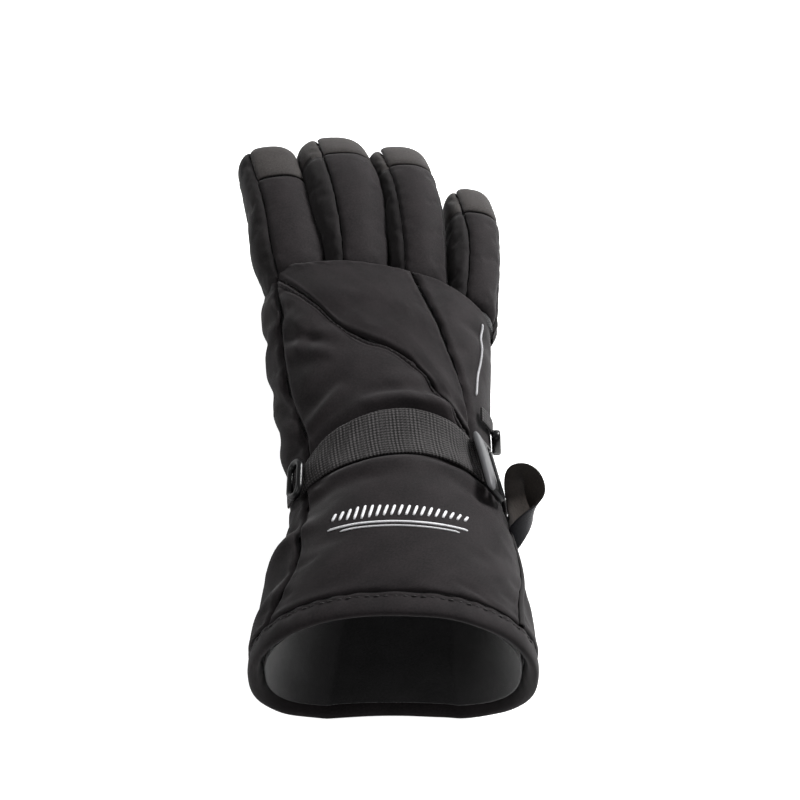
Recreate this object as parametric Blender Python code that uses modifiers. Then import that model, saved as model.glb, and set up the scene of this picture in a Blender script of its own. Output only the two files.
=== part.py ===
"""Right-hand insulated gauntlet glove, lying palm down with the thumb tucked under the palm.

Design numbers are millimetres in the hand's own frame: +Y to the fingertips, +Z to the back of the
hand, -X to the thumb side, z = 0 the surface it lies on. metres() moves them to the part's frame,
whose origin is on the flat underside of the gauntlet.

A point of a surface is given by a turn and a station. The turn runs round the section in degrees:
0 the little-finger side, 90 the top, 180 the thumb side, 270 the underside. The station is y on
the hand and gauntlet, and the distance along a finger or the thumb. A depth is measured inwards
from the outer skin, so a negative depth stands outside it.
"""
import math
from collections import namedtuple
from functools import partial

import bpy
import numpy as np
from mathutils import Matrix, Vector

MM = 0.001
PART_ORIGIN = np.array([0.0, -120.0, 0.0])   # the part's origin, in the hand's frame

Layer = namedtuple("Layer", "depth thickness")   # depth of the outer face
OUTER = Layer(0.0, 1.0)
WADDING = Layer(2.5, 3.2)
FLEECE = Layer(6.6, 0.8)

# Half gaps at the seams
SEAM_TURN = 0.7          # degrees, on the hand and gauntlet
SEAM_GAP = 0.5           # mm, across seams that run round a section
FINGER_SEAM_TURN = 1.9   # degrees, on a finger


def metres(points):
    return (np.asarray(points, float) - PART_ORIGIN) * MM


# ---------------------------------------------------------------- curves

def smooth(t):
    t = np.clip(t, 0.0, 1.0)
    return t * t * (3 - 2 * t)


def pchip(knots, values, x):
    """Smooth interpolation through a table, without overshoot."""
    knots, values, x = (np.asarray(k, float) for k in (knots, values, x))
    step = np.diff(knots)
    chord = np.diff(values) / step
    slope = np.zeros_like(values)
    slope[0], slope[-1] = chord[0], chord[-1]
    for i in range(1, len(knots) - 1):
        if chord[i - 1] * chord[i] > 0:
            before = 2 * step[i] + step[i - 1]
            after = step[i] + 2 * step[i - 1]
            slope[i] = (before + after) / (before / chord[i - 1] + after / chord[i])
    i = np.clip(np.searchsorted(knots, x) - 1, 0, len(knots) - 2)
    t = np.clip((x - knots[i]) / step[i], 0, 1)
    return ((1 + 2 * t) * (1 - t) ** 2 * values[i]
            + t * (1 - t) ** 2 * step[i] * slope[i]
            + t * t * (3 - 2 * t) * values[i + 1]
            + t * t * (t - 1) * step[i] * slope[i + 1])


def curve(*points):
    """A function that interpolates through (position, value) pairs."""
    knots, values = zip(*points)
    return lambda x: pchip(knots, values, x)


def shifted(line, by):
    return lambda x: line(x) + by


def constant(value):
    return lambda x: value


def section(turn, power):
    """A unit superellipse: how far across and how far up the point at a turn lies."""
    cosine, sine = np.cos(np.radians(turn)), np.sin(np.radians(turn))
    return (np.sign(cosine) * np.abs(cosine) ** (2 / power),
            np.sign(sine) * np.abs(sine) ** (2 / power))


def tip_scale(station, depth, length, closing, power):
    """Scale of a section that shrinks over the last closing mm of the length."""
    t = np.clip((station + depth - (length - closing)) / closing, 0, 0.999)
    return (1 - t ** power) ** (1 / power)


# ---------------------------------------------------------------- hand and gauntlet surface

# station y, centre x, centre z, half width, height above centre,
# depth below centre: thumb side, little-finger side
BODY = np.array([
    [-160,  1.0, 57.0, 65.5, 56.0, 62.0, 62.0],
    [-142,  1.5, 57.0, 62.0, 54.5, 62.0, 62.0],
    [-116,  1.5, 56.0, 56.0, 51.0, 61.0, 61.0],
    [ -93,  3.0, 55.0, 49.5, 47.0, 58.0, 60.0],
    [ -77,  1.5, 54.0, 48.0, 42.0, 46.0, 58.0],
    [ -62, -0.5, 54.0, 48.0, 38.5, 32.0, 57.0],
    [ -46, -2.0, 55.0, 49.5, 38.0, 26.0, 58.0],
    [ -20, -4.0, 56.0, 53.0, 35.0, 25.5, 58.0],
    [   8, -5.0, 56.5, 57.0, 31.0, 25.0, 50.0],
    [  30, -5.5, 56.0, 59.0, 28.0, 24.5, 33.0],
    [  48, -6.0, 55.0, 59.0, 24.5, 23.0, 24.0],
])
BODY_POWER = 2.35
# The sections slant back towards the little finger, more and more from SLANT_START forward.
SLANT = 12.0             # mm, over SLANT_WIDTH, once the slant has grown for SLANT_LENGTH
SLANT_START = -25.0
SLANT_LENGTH = 77.0
SLANT_WIDTH = 57.0


def skin(turn, y):
    """A point of the outer skin, before any depth."""
    turn, y = np.broadcast_arrays(np.asarray(turn, float), np.asarray(y, float))
    centre_x, centre_z, half_width, height, thumb_depth, little_depth = (
        pchip(BODY[:, 0], BODY[:, k], y) for k in range(1, 7))
    across, up = section(turn, BODY_POWER)
    little_share = smooth((np.cos(np.radians(turn)) + 0.25) / 0.8)
    below = thumb_depth + (little_depth - thumb_depth) * little_share
    x = centre_x + half_width * across
    z = np.maximum(centre_z + np.where(up >= 0, height, below) * up, 0.0)
    slant = SLANT * np.clip((y - SLANT_START) / SLANT_LENGTH, 0, 1.1) ** 1.3
    return np.stack([x, y - slant * (x - centre_x) / SLANT_WIDTH, z], -1)


def body(turn, y, depth=0.0):
    """A point of the hand and gauntlet."""
    point = skin(turn, y)
    if not depth:
        return point
    turn, y = np.asarray(turn, float), np.asarray(y, float)
    reach = 4   # mm and degrees, to either side
    normal = np.cross(skin(turn, y + reach) - skin(turn, y - reach),
                      skin(turn + reach, y) - skin(turn - reach, y))
    return point - depth * normal / np.linalg.norm(normal, axis=-1, keepdims=True)


# ---------------------------------------------------------------- fingers

# knuckle: point on the knuckle axis; lean: degrees to the thumb side; pitch: degrees upward at
# knuckle and tip; bend: exponent of the change of pitch; length: from the knuckle axis;
# widths, heights: half sizes at knuckle, middle and tip; radius: of the rounded base;
# cap: length of the tip cap
Finger = namedtuple("Finger", "knuckle lean pitch bend length widths heights radius cap")
FINGERS = {
    "index": Finger((-46.4, 48.0, 56.0), 13.0, (6.0, -16.0), 1.3, 85.0,
                    (14.4, 15.8, 15.4), (17.0, 17.0, 15.0), 15.2, 13.0),
    "middle": Finger((-16.2, 47.0, 59.0), 11.0, (6.0, -34.0), 1.8, 94.0,
                     (14.2, 14.6, 14.4), (17.0, 17.0, 14.5), 15.2, 12.0),
    "ring": Finger((14.6, 40.5, 58.0), 7.0, (6.0, -36.0), 1.8, 96.0,
                   (13.6, 14.8, 14.8), (17.0, 17.0, 14.5), 15.2, 12.0),
    "little": Finger((43.6, 29.0, 54.0), -1.0, (5.0, -34.0), 1.7, 82.0,
                     (13.6, 15.2, 14.6), (16.0, 16.0, 13.5), 14.4, 12.0),
}
THIRDS = (0, 0.5, 1)     # where along the length the half sizes are given
FINGER_POWER = 2.5
FINGER_CLOSING = 13.0    # length over which a fingertip closes
FINGER_BASE = -9.0       # a finger's open end, behind its knuckle axis


def spine(shape, station):
    """Centre, side and up vectors of a finger at a station."""
    grid = np.linspace(-40.0, shape.length, 160)
    start, end = shape.pitch
    pitches = np.radians(start + (end - start) * np.clip(grid / shape.length, 0, 1) ** shape.bend)
    step = np.diff(grid)
    middle = 0.5 * (pitches[1:] + pitches[:-1])

    def travelled(rates):
        total = np.concatenate([[0], np.cumsum(rates * step)])
        return np.interp(station, grid, total) - np.interp(0, grid, total)

    forward, rise = travelled(np.cos(middle)), travelled(np.sin(middle))
    pitch = np.interp(station, grid, pitches)
    lean = math.radians(shape.lean)
    sin_lean, cos_lean = math.sin(lean), math.cos(lean)
    x, y, z = shape.knuckle
    centre = np.stack([x - forward * sin_lean, y + forward * cos_lean, z + rise], -1)
    side = np.array([cos_lean, sin_lean, 0.0])
    up = np.stack([sin_lean * np.sin(pitch), -cos_lean * np.sin(pitch), np.cos(pitch)], -1)
    return centre, side, up


def finger(shape, turn, station, depth=0.0):
    """A point of a finger."""
    along = np.clip(station / shape.length, 0, 1)
    width = pchip(THIRDS, shape.widths, along)
    height = pchip(THIRDS, shape.heights, along)
    base_height = np.sqrt(np.maximum(shape.radius ** 2 - np.minimum(station, 0.0) ** 2, 1.0))
    blend = smooth(station / 12.0)
    height = base_height * (1 - blend) + height * blend
    scale = tip_scale(station, depth, shape.length, FINGER_CLOSING, power=2.6)
    across, up = section(turn, FINGER_POWER)
    x = (width - depth) * scale * across
    z = (height - depth) * (0.2 + 0.8 * scale) * up
    centre, side_vector, up_vector = spine(shape, station)
    return centre + side_vector * x[..., None] + up_vector * z[..., None]


# ---------------------------------------------------------------- thumb, lying under the palm

THUMB_ROOT = (-38.0, -34.0)          # x and y of its upright axis
THUMB_LENGTH = 69.0                  # forward from the axis
THUMB_WIDTHS = (14.0, 15.0, 13.0)    # half widths at root, middle and tip
THUMB_HEIGHT = 14.0                  # half height
THUMB_Z = 14.0                       # centre height
THUMB_POWER = 2.4
THUMB_CLOSING = 16.0                 # length over which the tip closes


def thumb(turn, station, depth=0.0):
    """A point of the thumb, whose base is round about the upright axis."""
    width = pchip(THIRDS, THUMB_WIDTHS, np.clip(station / THUMB_LENGTH, 0, 1)) - depth
    behind = np.clip(-station / (THUMB_WIDTHS[0] - depth), 0, 0.985)
    base_scale = np.sqrt(1 - behind ** 2)
    scale = tip_scale(station, depth, THUMB_LENGTH, THUMB_CLOSING, power=2.4)
    height = (THUMB_HEIGHT - depth) * (0.25 + 0.75 * scale) * (0.35 + 0.65 * base_scale)
    across, up = section(turn, THUMB_POWER)
    x = THUMB_ROOT[0] + width * base_scale * scale * across
    return np.stack([x, THUMB_ROOT[1] + station, THUMB_Z + height * up], -1)


# ---------------------------------------------------------------- seams

# Seams along the hand and gauntlet: (y, turn)
index_seam = curve((-80, 140), (-53, 141), (-30, 146), (10, 147), (28, 145), (52, 148))
little_seam = curve((-80, 36), (-50, 38), (-32, 42), (-5, 54), (26, 67), (52, 76))
gauntlet_thumb_seam = curve((-152, 149), (-134, 141), (-115, 140), (-76, 152))
gauntlet_little_seam = curve((-152, 30), (-140, 26), (-118, 13), (-70, 10))

# Seams round the hand: (turn, y)
wrist_seam = curve((-60, -76), (0, -72), (38, -74), (66, -68), (90, -64), (112, -68),
                   (146, -77), (180, -80), (240, -80), (300, -76), (360, -72))
# over the back of the hand, from the index side down to the wrist on the little-finger side
crossing_seam = curve((38, -56), (54, -50), (74, -30), (89, -13), (104, -1), (122, 14), (146, 29))

PALM_TURNS = (203.0, 338.0)          # straight side seams of the palm panel
CUFF_TURNS = (214.0, 326.0)          # and of the gauntlet's palm panel
HEM_Y = -149.0

# The hand's front edge stays clear of the turning fingers.
KNUCKLE_LINE = np.array([[-46, 51], [-15.6, 47], [14.6, 41], [43.4, 30]])   # x, y limit
FINGER_REACH = 22        # x distance within which a finger limits the edge
FINGER_CLEARANCE = 1.1
FRONT_LIMITS = (52.0, -20.0)         # foremost and rearmost y of the edge


def clears_fingers(point):
    near = [f for f in FINGERS.values() if abs(point[0] - f.knuckle[0]) < FINGER_REACH]
    if not near:
        near = [FINGERS["index" if point[0] < 0 else "little"]]
    for shape in near:
        room = shape.radius + FINGER_CLEARANCE
        above = point[2] - shape.knuckle[2]
        if above >= room:
            limit = np.interp(point[0], *KNUCKLE_LINE.T)
        else:
            limit = shape.knuckle[1] - math.sqrt(room ** 2 - max(above, 0.0) ** 2)
        if point[1] > limit:
            return False
    return True


def front(turn, layer):
    """How far forward a layer may reach without meeting a finger turning about its knuckle."""
    depths = [layer.depth + layer.thickness * k for k in (0.0, 0.5, 1.0)]
    for y in np.arange(*FRONT_LIMITS, -0.5):
        if all(clears_fingers(body(turn, y, depth)) for depth in depths):
            return float(y)
    return FRONT_LIMITS[1]


FRONT_TURNS = np.arange(-30.0, 391.0, 3.0)
FRONT_Y = {layer: [front(turn, layer) for turn in FRONT_TURNS]
           for layer in (OUTER, WADDING, FLEECE)}


def front_edge(turn, layer=OUTER):
    return np.interp(turn, FRONT_TURNS, FRONT_Y[layer])


# ---------------------------------------------------------------- scene and materials

for old in list(bpy.data.objects):
    bpy.data.objects.remove(old)
PARTS = bpy.data.collections.new("glove")
TOOLS = bpy.data.collections.new("cutters")
for collection in (PARTS, TOOLS):
    bpy.context.scene.collection.children.link(collection)


def material(name, colour, roughness):
    made = bpy.data.materials.new(name)
    made.use_nodes = True
    shader = next(n for n in made.node_tree.nodes if n.type == "BSDF_PRINCIPLED")
    shader.inputs["Base Color"].default_value = (*colour, 1)
    shader.inputs["Roughness"].default_value = roughness
    return made


SHELL = material("shell_fabric", colour=(0.018, 0.015, 0.016), roughness=0.8)
PALM = material("palm_fabric", colour=(0.014, 0.013, 0.013), roughness=0.7)
GREY = material("fingertip_fabric", colour=(0.05, 0.044, 0.043), roughness=0.75)
PADDING = material("insulation_wadding", colour=(0.75, 0.75, 0.72), roughness=0.9)
LINING = material("lining_fleece", colour=(0.03, 0.03, 0.035), roughness=0.9)
WEBBING = material("webbing", colour=(0.02, 0.018, 0.02), roughness=0.7)
TAPE = material("loop_tape", colour=(0.03, 0.03, 0.04), roughness=0.6)
PLASTIC = material("gloss_plastic", colour=(0.012, 0.012, 0.014), roughness=0.2)
PIPING = material("reflective_piping", colour=(0.45, 0.46, 0.48), roughness=0.35)
THREAD = material("emblem_thread", colour=(0.75, 0.75, 0.76), roughness=0.6)

INNER_LAYERS = (("insulation", WADDING, PADDING), ("lining", FLEECE, LINING))


# ---------------------------------------------------------------- Blender helpers

def add(name, data, mat=None, where=PARTS):
    made = bpy.data.objects.new(name, data)
    where.objects.link(made)
    if mat:
        data.materials.append(mat)
    return made


def new_mesh(name, verts, faces):
    mesh = bpy.data.meshes.new(name)
    mesh.from_pydata(verts, [], faces)
    return mesh


def surface(name, rows, mat, thickness, closed=False, capped=False):
    """A fabric layer: rows of points become an open surface that Solidify thickens inwards.

    closed joins each row's end to its start; capped fills the last row with one face.
    """
    rows = np.asarray(rows, float)
    count, turns = rows.shape[:2]
    faces = []
    for i in range(count - 1):
        for j in range(turns if closed else turns - 1):
            k = (j + 1) % turns
            faces.append((i * turns + j, (i + 1) * turns + j, (i + 1) * turns + k, i * turns + k))
    if capped:
        faces.append(tuple((count - 1) * turns + j for j in reversed(range(turns))))
    mesh = new_mesh(name, metres(rows.reshape(-1, 3)).tolist(), faces)
    mesh.update()
    for polygon in mesh.polygons:
        polygon.use_smooth = True
    made = add(name, mesh, mat)
    solidify = made.modifiers.new("thickness", "SOLIDIFY")
    solidify.thickness = thickness * MM
    solidify.offset = -1
    solidify.use_even_offset = False
    return made


def lattice(shape, turns, stations, depth=0.0):
    """Rows of points of a shape: one row for each station, one point for each turn."""
    turns, stations = np.meshgrid(turns, stations)
    return shape(turns, stations, depth)


def seamed_grid(low_side, high_side, rear, front_line, across, along):
    """A grid of (turn, y) between two sides turn(y) and two ends y(turn)."""
    def corner(side, end, turn):
        for _ in range(30):
            turn = 0.5 * (turn + float(side(end(turn))))
        return turn, float(end(turn))

    def side_line(side, start, stop):
        return np.array([(float(side(y)), y) for y in np.linspace(start[1], stop[1], along)])

    def end_line(end, start, stop):
        return np.array([(u, float(end(u))) for u in np.linspace(start[0], stop[0], across)])

    low_rear, low_front = corner(low_side, rear, 60), corner(low_side, front_line, 60)
    high_rear, high_front = corner(high_side, rear, 120), corner(high_side, front_line, 120)
    low = side_line(low_side, low_rear, low_front)[:, None]
    high = side_line(high_side, high_rear, high_front)[:, None]
    back = end_line(rear, low_rear, high_rear)[None]
    fore = end_line(front_line, low_front, high_front)[None]
    s = np.linspace(0, 1, across)[None, :, None]
    t = np.linspace(0, 1, along)[:, None, None]
    corners = ((1 - s) * (1 - t) * back[:, 0] + s * (1 - t) * back[:, -1]
               + (1 - s) * t * fore[:, 0] + s * t * fore[:, -1])
    return (1 - s) * low + s * high + (1 - t) * back + t * fore - corners


def panel(name, low_side, high_side, rear, front_line, across, along, mat=SHELL):
    """An outer panel, kept half a gap from its side and rear seams."""
    grid = seamed_grid(shifted(low_side, SEAM_TURN), shifted(high_side, -SEAM_TURN),
                       shifted(rear, SEAM_GAP), front_line, across, along)
    return surface(name, body(grid[..., 0], grid[..., 1]), mat, OUTER.thickness)


def circle(centre, radius, z, sides=20):
    angles = 2 * np.pi * np.arange(sides) / sides
    return np.stack([centre[0] + radius * np.cos(angles),
                     centre[1] + radius * np.sin(angles), np.full(sides, z)], -1)


def cylinder(name, centre, radius, bottom, top, where):
    low, high = (circle(centre, radius, z) for z in (bottom, top))
    sides = len(low)
    faces = [(k, (k + 1) % sides, sides + (k + 1) % sides, sides + k) for k in range(sides)]
    faces += [tuple(reversed(range(sides))), tuple(range(sides, 2 * sides))]
    verts = metres(np.concatenate([low, high])).tolist()
    return add(name, new_mesh(name, verts, faces), where=where)


def box(name, size, mat=None, where=PARTS, bevel=0.0):
    x, y, z = (0.5 * MM * k for k in size)
    verts = [(a, b, c) for a in (-x, x) for b in (-y, y) for c in (-z, z)]
    faces = [(0, 1, 3, 2), (4, 6, 7, 5), (0, 4, 5, 1), (2, 3, 7, 6), (0, 2, 6, 4), (1, 5, 7, 3)]
    made = add(name, new_mesh(name, verts, faces), mat, where)
    if bevel:
        edges = made.modifiers.new("edges", "BEVEL")
        edges.width = bevel * MM
        edges.segments = 1
        edges.limit_method = "NONE"
    return made


def tube(name, points, radius, mat, cyclic=False):
    """A round bar through points given in metres, in the part's frame."""
    data = bpy.data.curves.new(name, "CURVE")
    data.dimensions = "3D"
    data.bevel_depth = radius * MM
    data.bevel_resolution = 1
    data.use_fill_caps = not cyclic
    data.resolution_u = 1
    line = data.splines.new("POLY")
    line.points.add(len(points) - 1)
    for knot, point in zip(line.points, points):
        knot.co = (*point, 1)
    line.use_cyclic_u = cyclic
    return add(name, data, mat)


def cutter(made):
    made.hide_render = True
    made.display_type = "WIRE"
    return made


def cut(made, tool):
    modifier = made.modifiers.new("cut", "BOOLEAN")
    modifier.operation = "DIFFERENCE"
    modifier.solver = "EXACT"
    modifier.object = tool


def cut_box(made, name, size, frame, x=0.0, y=0.0):
    """Cuts a box-shaped opening, centred at x, y of the frame."""
    tool = cutter(box(name, size, where=TOOLS))
    tool.matrix_world = frame @ shift(x, y)
    cut(made, tool)


def shift(x, y=0.0):
    return Matrix.Translation(Vector((x, y, 0.0)) * MM)


def axis_frame(where, axis):
    """A frame whose Z lies on an axis."""
    turn = Vector(axis).to_track_quat("Z", "Y").to_matrix().to_4x4()
    return Matrix.Translation(Vector(metres(where))) @ turn


def skin_frame(turn, y, out):
    """A frame standing on the skin: X round the wrist, Y to the cuff, Z out of the skin."""
    round_wrist = body(turn + 1, y) - body(turn - 1, y)
    outward = np.cross(body(turn, y + 1) - body(turn, y - 1), round_wrist)
    outward /= np.linalg.norm(outward)
    round_wrist /= np.linalg.norm(round_wrist)
    axes = np.stack([round_wrist, np.cross(outward, round_wrist), outward], 1)
    origin = metres(body(turn, y) + outward * out)
    return Matrix.Translation(Vector(origin)) @ Matrix(axes.tolist()).to_4x4()


def joint(name, frame, *pieces):
    """Marks a joint with an empty whose own Z lies on the joint's axis, and hangs pieces on it."""
    empty = bpy.data.objects.new(name, None)
    empty.empty_display_size = 0.01
    empty.matrix_world = frame
    PARTS.objects.link(empty)
    for piece in pieces:
        piece.parent = empty
        piece.matrix_parent_inverse = empty.matrix_world.inverted()


# ---------------------------------------------------------------- hand and gauntlet

# Turns of the layers that go all the way round; the underside has the finer steps.
ROUND = np.concatenate([np.arange(0.0, 180.0, 15.0), np.arange(180.0, 360.0, 10.0)])


def build_hand_panels(palm_hole):
    palm_start, palm_end = PALM_TURNS
    panel("knuckle_panel", little_seam, index_seam, crossing_seam, front_edge, 8, 6)
    panel("wrist_back_panel", little_seam, index_seam, wrist_seam,
          shifted(crossing_seam, -SEAM_GAP), 9, 8)
    panel("little_side_panel", constant(palm_end - 360.0), little_seam, wrist_seam,
          front_edge, 6, 8)
    panel("index_side_panel", index_seam, constant(palm_start), wrist_seam, front_edge, 5, 8)
    palm = panel("palm_panel", constant(palm_start), constant(palm_end), wrist_seam,
                 front_edge, 14, 11, PALM)
    cut(palm, palm_hole)


def build_gauntlet():
    cuff_start, cuff_end = CUFF_TURNS
    for name, low_side, high_side, across, mat in (
            ("back", gauntlet_little_seam, gauntlet_thumb_seam, 10, SHELL),
            ("thumb_side", gauntlet_thumb_seam, constant(cuff_start), 6, SHELL),
            ("palm", constant(cuff_start), constant(cuff_end), 9, PALM),
            ("little_side", constant(cuff_end - 360.0), gauntlet_little_seam, 5, SHELL)):
        panel(f"gauntlet_{name}_panel", low_side, high_side, constant(HEM_Y),
              shifted(wrist_seam, -SEAM_GAP), across, 6, mat)
    surface("hem_band", lattice(body, ROUND, [-160.0, -155.0, HEM_Y - SEAM_GAP]), SHELL, 3.0,
            closed=True)


def build_body_layers(palm_hole):
    """Insulation and lining: even stations up to the last fixed one, then on to the fingers."""
    rear_ends = {"insulation": -147.0, "lining": -157.0}
    fixed = (-118.0, -96.0, -78.0, -62.0, -46.0, -20.0)
    setback = 6.0        # behind the front edge
    for name, layer, mat in INNER_LAYERS:
        stations = [np.full(ROUND.shape, y) for y in (rear_ends[name], *fixed)]
        reach = front_edge(ROUND, layer) - setback - fixed[-1]
        stations += [fixed[-1] + reach * share for share in (0.25, 0.625, 1.0)]
        rows = [body(ROUND, y, layer.depth) for y in stations]
        made = surface(f"body_{name}", rows, mat, layer.thickness, closed=True)
        cut(made, palm_hole)


# ---------------------------------------------------------------- fingers and thumb

DIGIT_TURNS = np.arange(0.0, 360.0, 30.0)   # of the insulation and lining


def build_finger(name, shape):
    length = shape.length
    cap_start = length - shape.cap
    seam_little, seam_thumb = 25, 155        # turns of the side seams
    upper = [seam_little + FINGER_SEAM_TURN, 50, 75, 105, 130, seam_thumb - FINGER_SEAM_TURN]
    lower = [seam_thumb + FINGER_SEAM_TURN, 180, 210, 240, 270, 300, 330, 360,
             seam_little + 360 - FINGER_SEAM_TURN]
    shaft = [FINGER_BASE, -4.0, 1.0, 6.0, 13.0, 34.0, 56.0]
    tip = [length - 6.0, length - 2.5, length - 0.4]
    point = partial(finger, shape)
    pieces = [
        surface(f"{name}_back_panel", lattice(point, upper, shaft + [cap_start - SEAM_GAP]),
                SHELL, OUTER.thickness),
        surface(f"{name}_tip_cap", lattice(point, upper, [cap_start + SEAM_GAP] + tip),
                GREY, OUTER.thickness, capped=True),
        surface(f"{name}_palm_panel", lattice(point, lower, shaft + tip),
                PALM, OUTER.thickness, capped=True),
    ]
    for part, layer, mat in INNER_LAYERS:
        stations = [FINGER_BASE + 0.5, -3.0, 3.0, 13.0, 34.0, 56.0]
        stations += [length - back - layer.depth for back in (13.5, 7.0, 1.6)]
        pieces.append(surface(f"{name}_{part}",
                              lattice(point, DIGIT_TURNS, stations, layer.depth),
                              mat, layer.thickness, closed=True, capped=True))
    joint(f"{name}_knuckle", axis_frame(shape.knuckle, (1, 0, 0)), *pieces)


def build_thumb():
    """The thumb turns about an upright axis, on a gusset that passes through both openings."""
    hole = cutter(cylinder("thumb_hole", THUMB_ROOT, 12.4, 13, 34, TOOLS))
    upper = [2, 25, 50, 75, 105, 130, 155, 178]
    lower = [182, 205, 235, 255, 285, 305, 335, 358]
    shaft = [0.0, 14.0, 30.0, 45.0]
    stations = [-13.2, -11.0, -6.0] + shaft
    stations += [THUMB_LENGTH - back for back in (13.0, 7.0, 2.5, 0.5)]
    back_panel, palm_panel = (
        surface(f"thumb_{part}_panel", lattice(thumb, turns, stations), mat,
                OUTER.thickness, capped=True)
        for part, turns, mat in (("back", upper, SHELL), ("palm", lower, PALM)))
    cut(back_panel, hole)
    pieces = [back_panel, palm_panel]
    for part, layer, mat in INNER_LAYERS:
        depth = layer.depth
        stations = [-13.2 + depth, -10.5 + 0.8 * depth, -6.0 + 0.3 * depth] + shaft
        stations += [THUMB_LENGTH - back - depth for back in (13.0, 7.0, 3.0, 1.0)]
        made = surface(f"thumb_{part}", lattice(thumb, DIGIT_TURNS, stations, depth),
                       mat, layer.thickness, closed=True, capped=True)
        cut(made, hole)
        pieces.append(made)
    rings = [circle(THUMB_ROOT, 11.9, z)[::-1] for z in (15.0, 26.0, 37.0)]
    pieces.append(surface("thumb_gusset", rings, SHELL, 1.2, closed=True))
    joint("thumb_root", axis_frame((*THUMB_ROOT, 25.0), (0, 0, 1)), *pieces)


# ---------------------------------------------------------------- wrist strap and fittings

# (turn, y) of the strap's middle line
strap_line = curve((20, -75), (35, -69.5), (60, -60), (82, -57), (110, -63), (145, -74), (165, -79))
# (turn, half width): gathered where it goes through the ring
strap_half_width = curve((33, 12.5), (80, 12.5), (115, 11.0), (147, 7.0))
Z_TO_Y = Matrix.Rotation(math.radians(-90), 4, "X")   # lays a joint's Z along a frame's Y


def build_strap():
    turns = np.linspace(33.0, 147.0, 14)
    rows = [body(turns, strap_line(turns) + k * strap_half_width(turns), -2.9)
            for k in (-1, -1 / 3, 1 / 3, 1)]
    surface("wrist_strap", rows, WEBBING, 1.6)


def build_buckle():
    """Ladder-lock buckle on the little-finger side."""
    frame = skin_frame(29.0, -72.0, out=7.0) @ Matrix.Rotation(math.radians(20), 4, "Z")
    buckle = box("ladder_lock_buckle", (17, 39, 3.2), PLASTIC, bevel=0.9)
    buckle.matrix_world = frame
    for k, x in enumerate((-4.1, 3.6)):
        cut_box(buckle, f"slot_{k}", (3.7, 32, 8), frame, x)
    joint("buckle_bar", frame @ shift(-7.2) @ Z_TO_Y, buckle)


def build_strap_ring():
    """Rectangular ring on the thumb side, at the strap's narrow end."""
    frame = skin_frame(148.0, -75.5, out=5.4)
    corner_x, corner_y, corner_radius = 3.2, 7.6, 2.2
    points = []
    for sign_x, sign_y, start in ((1, 1, 0), (-1, 1, 90), (-1, -1, 180), (1, -1, 270)):
        for sweep in (0, 30, 60, 90):
            angle = math.radians(start + sweep)
            points.append(frame @ (Vector((sign_x * corner_x + corner_radius * math.cos(angle),
                                           sign_y * corner_y + corner_radius * math.sin(angle),
                                           0.0)) * MM))
    ring = tube("strap_ring", points, 1.3, PLASTIC, cyclic=True)
    joint("ring_axis", frame @ shift(corner_x + corner_radius) @ Z_TO_Y, ring)


def build_hook_clip():
    """Glove clip on the little-finger side of the hand."""
    frame = skin_frame(4.0, -42.0, out=4.4)
    hook = box("hook_clip", (16, 9, 4.4), PLASTIC, bevel=1.2)
    hook.matrix_world = frame
    cut_box(hook, "clip_hole", (6.5, 4.4, 12), frame, -2.0)
    cut_box(hook, "clip_mouth", (3.0, 6, 12), frame, 4.6, -3.0)
    joint("clip_axis", frame @ shift(6.0), hook)


def build_pull_loop():
    """Tape loop by the buckle, rooted at the gauntlet's little-finger side."""
    path = np.array([
        (58, -103, 62), (59.8, -96, 68), (60.3, -88, 75.5), (60.3, -81, 83),
        (61.3, -76.5, 87.5), (64, -74.5, 89), (66.8, -76, 87), (68.5, -80.5, 83),
        (68.3, -87, 76.5), (65.5, -94.5, 69.2), (61, -101, 62),
    ])
    across = np.array([9.0, 4.5, -7.5])      # from one edge of the tape to the other
    loop = surface("pull_loop", [path + across * k / 3 for k in range(4)], TAPE, 1.0)
    joint("loop_root", axis_frame((59.5, -103.0, 61.5), (0, 1, 0)), loop)


# ---------------------------------------------------------------- flat pieces and trims

# name, first and last turn, points round, rear and front y, depth, thickness, material
FLAT_PIECES = (
    ("buckle_tab", -8.0, 14.0, 4, -81.0, -58.0, -2.2, 1.4, WEBBING),
    ("ring_tab", 153.5, 169.0, 4, -82.5, -70.5, -1.8, 1.2, WEBBING),
    ("clip_strip", 8.0, 30.0, 4, -41.0, -34.0, -1.9, 1.2, WEBBING),
    ("emblem", 58.0, 110.0, 8, -118.0, -107.0, -0.9, 0.5, THREAD),
)


def build_flat_pieces():
    for name, first, last, count, rear, fore, depth, thickness, mat in FLAT_PIECES:
        rows = lattice(body, np.linspace(first, last, count), np.linspace(rear, fore, 3), depth)
        surface(name, rows, mat, thickness)


def build_trims():
    tube("reflective_piping", metres(body(29.0, np.linspace(14.0, -28.0, 9), -1.3)), 0.8, PIPING)
    # binding over the gauntlet's little-finger side seam
    y = np.linspace(HEM_Y + 2.0, -86.0, 8)
    rows = [body(gauntlet_little_seam(y) + aside, y, -1.2) for aside in (2.4, 0, -2.4)]
    surface("gauntlet_binding", rows, SHELL, 0.8)


# ---------------------------------------------------------------- the glove

palm_opening = cutter(cylinder("palm_hole", THUMB_ROOT, 12.6, 22.5, 44, TOOLS))
build_hand_panels(palm_opening)
build_gauntlet()
build_body_layers(palm_opening)
for finger_name, finger_shape in FINGERS.items():
    build_finger(finger_name, finger_shape)
build_thumb()
build_strap()
build_buckle()
build_strap_ring()
build_hook_clip()
build_pull_loop()
build_flat_pieces()
build_trims()
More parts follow.
